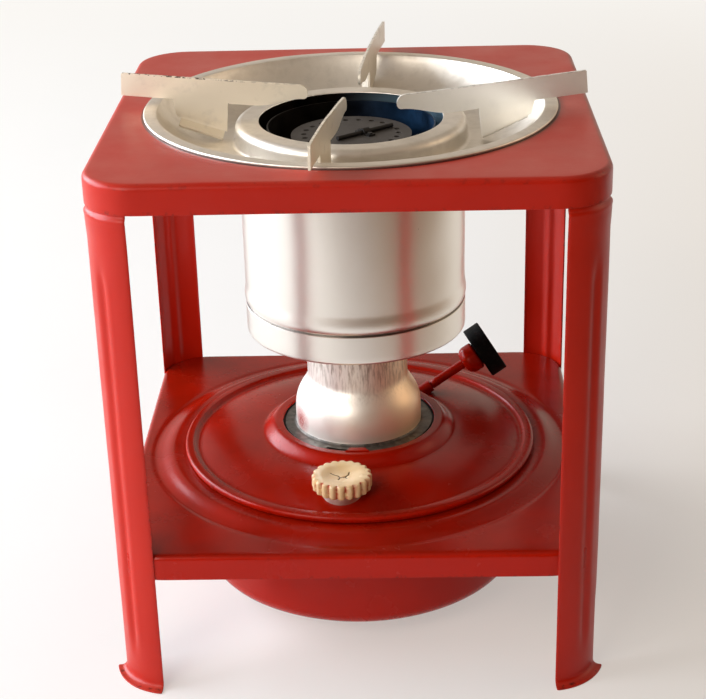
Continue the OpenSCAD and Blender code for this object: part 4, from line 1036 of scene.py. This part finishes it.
def make_support(name, node, side, finish, seed):
    """Pot support cut from sheet: a long arm with a rounded nose, a deep middle and a folded foot."""
    az, shift, tilt, bow = SUPPORT_PLACES[side]
    arm_z = PAN_HIGH.z + 0.1
    top = arm_z + 11.6
    nose_r, out_r, deep_in, deep_out, knee_r = 23.2, 118.0, 63.5, 90.0, 50.0
    nose_h, over_r, under_r, under_drop = 7.2, 4.6, 2.2, 0.5
    far_side = abs(shift) + SUPPORT_T / 2

    def top_at(x):
        """Height of the upper edge, nicked and dipped by use, this far out."""
        if x < nose_r + over_r:
            return top - over_r + math.sqrt(max(0, over_r ** 2 - (nose_r + over_r - x) ** 2))
        if x > out_r - 0.8:
            return top - 0.8 + math.sqrt(max(0, 0.64 - (x - out_r + 0.8) ** 2))
        nicks = 0.28 * max(0, wobble((x, seed * 50, 0), 2.3, seed)) ** 2
        dips = 0.5 * max(0, wobble((x, 0, 9), 5, seed) - 0.35) if x > 60 else 0
        return top - nicks - dips

    def under_at(x):
        """Height of the arm's lower edge."""
        if x < nose_r + under_r:
            return top - nose_h + under_r - math.sqrt(max(0, under_r ** 2 - (nose_r + under_r - x) ** 2))
        if x < knee_r:
            share = (x - nose_r - under_r) / (knee_r - nose_r - under_r)
            return top - nose_h + (arm_z - under_drop - top + nose_h) * ease(share) ** 0.9
        return arm_z - under_drop if x < deep_in else arm_z

    def placed(x, y, z):
        """The same spot after the sheet's bow, its tilt about its foot and its shift."""
        side_way = bow * ((x - 74) / 49) ** 2 + 0.25 * wobble((x, z, 0), 24, seed)
        turn = math.radians(tilt)
        out, up = x - deep_in, z - PAN_FLOOR_Z
        return (deep_in + out * math.cos(turn) - up * math.sin(turn), y + shift + side_way,
                PAN_FLOOR_Z + out * math.sin(turn) + up * math.cos(turn))

    corner_z = pan_floor_at(math.hypot(deep_out, far_side))
    fold_in, fold_out = PAN_FLOOR_Z + FOOT_DROP + 0.4, corner_z + 1.6
    base = [deep_in + (deep_out - 1.5 - deep_in) * i / 20 for i in range(21)]
    base_line = [(x, fold_in + (fold_out - fold_in) * (x - deep_in) / (deep_out - deep_in)) for x in base]
    base_line += [(deep_out - 0.7, fold_out + 0.4), (deep_out - 0.2, fold_out + 1.2),
                  (deep_out, fold_out + 2.4)]
    last = len(base_line) - 1
    flare = 1.4
    top_line = [deep_in + (deep_out + flare - deep_in) * i / last for i in range(last + 1)]
    columns = sorted({round(x, 4) for x in
                      [nose_r + 0.02 + over_r * (i / 10) ** 1.7 for i in range(11)]
                      + [nose_r + over_r + (deep_in - nose_r - over_r) * i / 32 for i in range(33)] + top_line
                      + [deep_out + flare + (out_r - 0.8 - deep_out - flare) * i / 26 for i in range(27)]
                      + [out_r - 0.5, out_r - 0.15, out_r]})
    shape = bmesh.new()
    layer = shape.verts.layers.float.new("edge")

    def strip(rows, last_worn=False):
        """Faces between rows of spots. The last row may be an edge that is worn."""
        made = [[shape.verts.new(Vector(placed(*spot)) * MM) for spot in row] for row in rows]
        for vertex in made[-1]:
            vertex[layer] = 1.0 if last_worn else 0.0
        for low, high in zip(made, made[1:]):
            for a, b, c, d in zip(low, low[1:], high[1:], high):
                shape.faces.new((a, b, c, d))

    strip([[(x, 0, under_at(x) + (top_at(x) - under_at(x)) * k / 8) for x in columns] for k in range(9)],
          last_worn=True)
    under_line = [(x, under_at(x)) for x in top_line]
    strip([[(bx + (tx - bx) * k / 8, 0, bz + (tz - bz) * k / 8)
            for (bx, bz), (tx, tz) in zip(base_line, under_line)] for k in range(9)])
    foot_line = [p for p in base_line if deep_in + 0.5 <= p[0] <= deep_out - 2.5]
    foot = [(0.0, 0.0), (0.12, -0.35), (0.45, -0.7)]
    foot += [(0.45 + (FOOT_W - 0.45) * i / 6, -0.7 - (FOOT_DROP - 0.7) * i / 6) for i in range(1, 7)]
    strip([[(x, y, max(z + drop, pan_floor_at(math.hypot(x, shift + y)) + 0.75)) for x, z in foot_line]
           for y, drop in foot])
    bmesh.ops.remove_doubles(shape, verts=shape.verts, dist=1e-6)
    bmesh.ops.recalc_face_normals(shape, faces=shape.faces)
    turn = Matrix.Rotation(math.radians(az), 3, "Z")
    bmesh.ops.rotate(shape, cent=(0, 0, 0), matrix=turn, verts=shape.verts)
    mesh = bpy.data.meshes.new(name)
    shape.to_mesh(mesh)
    shape.free()
    mesh.materials.append(finish)
    smooth(mesh)
    piece = link_piece(name, mesh, "pan", [node])
    give_wall(piece, SUPPORT_T - 0.1, rim=0.2, centred=True)


# --- Filler cap and knob ---------------------------------------------------------------------------
def make_cap(finish):
    """Scalloped filler cap with a dished top, cracked at its middle."""
    centre = (CAP_LOW + CAP_HIGH) / 2
    cap_r = (CAP_HIGH.x - CAP_LOW.x) / 2
    height = CAP_HIGH.z - CAP_LOW.z
    dish, dish_r, bore_r = 1.5, cap_r - 2.8, 10.6
    wall = 1.6
    lip = arc((cap_r - 1.2, -1.2), 1.2, 0, 90, 6)
    bowl = [(dish_r * (1 - i / 34), -dish * ease(min(1, 1.25 * i / 34))) for i in range(35)]
    profile = ([(0, -dish - wall), (bore_r, -dish - wall), (bore_r, -height + 0.3), (bore_r + 0.3, -height)]
               + [(cap_r - 0.9, -height), (cap_r - 0.2, -height + 0.5), (cap_r, 1.2 - height)] + lip + bowl)
    place = Matrix.Translation(Vector((centre.x, centre.y, CAP_HIGH.z)) * MM)
    cap = spun("filler_cap_scalloped", divided(profile, 0.9), finish, "cap", ["filler_cap"],
               480, (12, 0.15), 9, 20, 1.5, lambda r, z: 1.0 if r > cap_r - 1.9 else 0.0, place)
    cracks = [
        [(-1.6, -3.4), (-0.9, -1.4), (-1.8, 0.5), (-5.6, 2.4)],
        [(-0.9, -1.4), (1.6, -0.6), (3.4, 1.2), (3.6, 3.6)],
        [(1.6, -0.6), (2.6, -2.2)],
    ]
    layer = cap.data.attributes.new("crack", "FLOAT", "POINT")
    depths = []
    for vertex in cap.data.vertices:
        x, y, z = vertex.co / MM - Vector((centre.x, centre.y, CAP_HIGH.z))
        near = math.inf
        if z > -dish - 0.3 and math.hypot(x, y) < dish_r:
            for line in cracks:
                for a, b in zip(line, line[1:]):
                    start, way = Vector(a), Vector(b) - Vector(a)
                    share = min(1, max(0, (Vector((x, y)) - start).dot(way) / way.length_squared))
                    near = min(near, (Vector((x, y)) - start - way * share).length)
        jitter = 0.10 * wobble((x * 3, y * 3, 0), 2, 2)
        value = ease(min(1, max(0, (0.5 + jitter - near) / 0.3)))
        depths.append(value)
        vertex.co.z -= 0.3 * MM * value
    layer.data.foreach_set("value", depths)


def spindle_place(along):
    """Places a shape turned about Z so that it stands on the spindle, this far out along it."""
    turn = SPINDLE_DIR.to_track_quat("Z", "Y").to_matrix().to_4x4()
    return Matrix.Translation((SPINDLE_FOOT + SPINDLE_DIR * along) * MM) @ turn


def make_knob(black, red):
    """Spindle with a shoulder outside its gland, ball-shaped hub and black knob."""
    tail, inside = -4.0, SPINDLE_LEN + KNOB_T - 1.2
    shaft = ([(0, tail), (SPINDLE_R, tail), (SPINDLE_R, STEM_FROM), (STEM_R - 0.2, STEM_FROM)]
             + [(STEM_R, STEM_FROM + 0.3), (STEM_R, inside), (0, inside)])
    spun("spindle_painted", divided(shaft, 3.0), red, "spindle", ["spindle"], 48, (9, 0.25), 11,
         place=spindle_place(0), edge_at=lambda r, z: 0.0)
    ball = HUB_R - STEM_R - 0.6
    hub = ([(STEM_R + 0.02, 0.3), (STEM_R + 0.6, 0)] + arc((HUB_R - ball, ball), ball, 275, 360, 12)
           + arc((HUB_R - 1.6, HUB_LEN - 1.9), 1.6, 0, 80, 5)
           + [(HUB_R - 2.2, HUB_LEN), (STEM_R + 0.02, HUB_LEN)])
    spun("knob_hub_painted", divided(hub, 1.2), red, "spindle", ["knob_hub"], 72, (7, 0.4), 12,
         place=spindle_place(SPINDLE_LEN - HUB_LEN), edge_at=lambda r, z: 0.0)
    rim = 0.7
    face = [(KNOB_R - 2.2, KNOB_T), (KNOB_R - 3.0, KNOB_T - 0.5), (3.4, KNOB_T - 0.7), (3.0, KNOB_T - 0.2),
            (2.2, KNOB_T), (0, KNOB_T)]
    body = ([(0, 0), (KNOB_R - rim, 0)] + arc((KNOB_R - rim, rim), rim, 270, 360, 4)
            + arc((KNOB_R - rim, KNOB_T - rim), rim, 0, 90, 4) + face)
    spun("wick_knob", divided(body, 1.5), black, "spindle", ["knob"], 120, (10, 0.05), 13,
         place=spindle_place(SPINDLE_LEN), edge_at=lambda r, z: 1.0 if r > KNOB_R - 1 else 0.0)


# --- Floor and light -------------------------------------------------------------------------------
def make_floor():
    """Matt white board, seen a little paler than it is lit, and still holding the shadow. It turns beige
    towards the right as a painted shadow, and in reflections darker towards the front right as painted shade.
    """
    made, tree, shader, place = new_material("pale_floor", **{"Roughness": 0.7})
    across = add(tree, "ShaderNodeSeparateXYZ", {"Vector": place}, "X")
    # Painted shadow: beige towards the right, where the stove's shadow lies.
    right = add(tree, "ShaderNodeMapRange", {0: across, 1: 60 * MM, 2: 360 * MM}, 0)
    surface(tree, shader,
            coated(tree, "#F1F0EE", (mottle(tree, place, 180, 3), "#F8F7F5"), (right, "#EBDAC4")))
    rays = add(tree, "ShaderNodeLightPath").outputs
    direct = add(tree, "ShaderNodeMath", {0: rays["Is Camera Ray"], 1: rays["Is Transmission Ray"]}, 0,
                 operation="MAXIMUM")
    seen = add(tree, "ShaderNodeMath", {0: direct, 1: rays["Is Glossy Ray"]}, 0, operation="MAXIMUM")
    # Painted shade, seen only in reflections: darker towards the front right.
    to_corner = add(tree, "ShaderNodeVectorMath", {0: place, 1: (0.6, -0.8, 0)}, "Value",
                    operation="DOT_PRODUCT")
    painted_shade_front_right = add(tree, "ShaderNodeMapRange", {0: to_corner, 1: 120 * MM, 2: 480 * MM}, 0)
    from_middle = add(tree, "ShaderNodeVectorMath", {0: place}, "Value", operation="LENGTH")
    far = add(tree, "ShaderNodeMapRange", {0: from_middle, 1: 250 * MM, 2: 1500 * MM, 3: 0.42, 4: 0.9}, 0)
    share = add(tree, "ShaderNodeMath", {0: far, 1: seen}, 0, operation="MULTIPLY")
    shown = coated(tree, "#FFFDF8", (painted_shade_front_right, "#6E523E"), (direct, "#FDFAF5"))
    glow = add(tree, "ShaderNodeEmission", {"Color": shown}, 0)
    mixed = add(tree, "ShaderNodeMixShader", {0: share, 1: shader.outputs["BSDF"], 2: glow}, 0)
    tree.links.new(mixed, tree.nodes["Material Output"].inputs["Surface"])
    half = 3.0  # metres
    corners = [(-half, -half, 0), (half, -half, 0), (half, half, 0), (-half, half, 0)]
    mesh = bpy.data.meshes.new("floor")
    mesh.from_pydata(corners, [], [(0, 1, 2, 3)])
    mesh.materials.append(made)
    floor = bpy.data.objects.new("floor", mesh)
    scene.collection.objects.link(floor)


def soft_light(name, at, aim, size, watts, colour):
    """Rectangular studio lamp at a place in metres, turned towards another."""
    data = bpy.data.lights.new(name, "AREA")
    data.shape = "RECTANGLE"
    data.size, data.size_y = size
    data.energy = watts
    data.color = linear(colour)[:3]
    lamp = bpy.data.objects.new(name, data)
    lamp.location = at
    lamp.rotation_euler = (Vector(aim) - Vector(at)).to_track_quat("-Z", "Y").to_euler()
    scene.collection.objects.link(lamp)


def make_light():
    """Window light from the left, a weaker warm fill from the right, and a pale room all round.

    In reflections the room is whitest at the left, and dim and warm towards the front right."""
    soft_light("window_left", (-1.6, 0.3, 0.82), (0, 0, 0.14), (2.2, 1.0), 63, "#EEF4FF")
    soft_light("front_left", (-0.9, -1.4, 1.0), (0, 0, 0.14), (0.9, 0.9), 15, "#FFF6EA")
    soft_light("fill_right", (1.8, 0.2, 0.8), (0, 0, 0.15), (0.8, 1.2), 4, "#FFDCB4")
    world = bpy.data.worlds.new("room")
    world.use_nodes = True
    tree = world.node_tree
    tree.nodes.clear()
    way = add(tree, "ShaderNodeTexCoord", out="Generated")
    parts = add(tree, "ShaderNodeSeparateXYZ", {"Vector": way}).outputs
    front_right, back_right = (
        add(tree, "ShaderNodeVectorMath", {0: way, 1: turn}, "Value", operation="DOT_PRODUCT")
        for turn in ((0.66, -0.75, 0), (0.7, 0.7, 0)))
    walls = [
        (add(tree, "ShaderNodeMapRange", {0: towards, 1: start, 2: end}, 0), colour)
        for towards, start, end, colour in (
            (parts["Y"], 0.1, 0.7, "#CFC3B6"),
            (back_right, 0.55, 0.85, "#EADBC8"),
            (parts["Y"], -0.2, -0.7, "#A08066"),
            (front_right, 0.5, 0.95, "#4A3222"),
            (parts["X"], -0.2, -0.75, "#F6FAFF"),
            (parts["Z"], 0.45, 0.85, "#A99B8D"))]
    rays = add(tree, "ShaderNodeLightPath").outputs
    direct = add(tree, "ShaderNodeMath", {0: rays["Is Camera Ray"], 1: rays["Is Transmission Ray"]}, 0,
                 operation="MAXIMUM")
    seen = add(tree, "ShaderNodeMath", {0: direct, 1: rays["Is Glossy Ray"]}, 0, operation="MAXIMUM")
    strength = add(tree, "ShaderNodeMapRange", {0: seen, 1: 0, 2: 1, 3: 0.34, 4: 1.0}, 0)
    shown = coated(tree, "#C2AE98", *walls, (direct, "#FBF8F4"))
    room = add(tree, "ShaderNodeBackground", {"Color": shown, "Strength": strength}, 0)
    add(tree, "ShaderNodeOutputWorld", {"Surface": room})
    scene.world = world
    scene.view_settings.view_transform = "Standard"


# --- Assembly --------------------------------------------------------------------------------------
def dress(nodes, finish):
    """Gives solids that keep their shape a finish."""
    for node in nodes:
        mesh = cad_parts[node].data
        mesh.materials.clear()
        mesh.materials.append(finish)


make_camera()
SPUN_SHEET = spun_sheet_tree()
enamel = stand_enamel()
# A darker copy of the enamel, painted shade for the tank, the shelf and the spindle under the top plate.
darkened = tank_enamel()
spun_metal = spun_aluminium()
bell_metal = bell_aluminium()
pan_metal = pressed_aluminium()
sheet_metal = cut_aluminium()
smoked = smoked_aluminium()
zinc = galvanised_steel()
blued = blued_steel()
sooted = sooted_steel()
black_scale_and_shade = black_steel()
brass = drawn_brass()
black = black_phenolic()
ivory = aged_ivory_plastic()

make_top_plate(enamel)
make_shelf(darkened)
make_leg("leg_front_left_pressed", "leg_front_left", -1, -1, enamel, 1)
make_leg("leg_front_right_pressed", "leg_front_right", 1, -1, enamel, 2, narrowed=7.0)
make_leg("leg_back_left_pressed", "leg_back_left", -1, 1, enamel, 3)
make_leg("leg_back_right_pressed", "leg_back_right", 1, 1, enamel, 4)
make_tank(darkened)
make_bayonet_tabs(darkened)
make_bell(bell_metal, zinc)
make_drum(spun_metal, smoked)
make_pan(pan_metal)
for number, side in enumerate(SUPPORT_PLACES):
    make_support("pot_support_%s_cut" % side, "pot_support_" + side, side, sheet_metal, number + 1)
make_cap(ivory)
make_knob(black, darkened)

dress(["gland_nut", "spindle_gland"], darkened)
dress(["gallery_plate", "wick_carrier"], zinc)
dress(["filler_neck"], pan_metal)
# The burner seat's black is painted shade, seen only through the bell flange's slots.
dress(["burner_seat", "spreader_strap", "spreader_rod", "spreader_rivets"], black_scale_and_shade)
dress(["outer_flame_tube"], blued)
dress(["inner_flame_tube", "flame_tube_pins", "flame_spreader"], sooted)
dress(["central_air_tube", "wick_tube", "pinion"], brass)
dress(["wick"], woven_cotton())
dress(["gland_packing"], graphited_cord())
dress(["cap_seal"], cork_washer())

make_floor()
make_light()
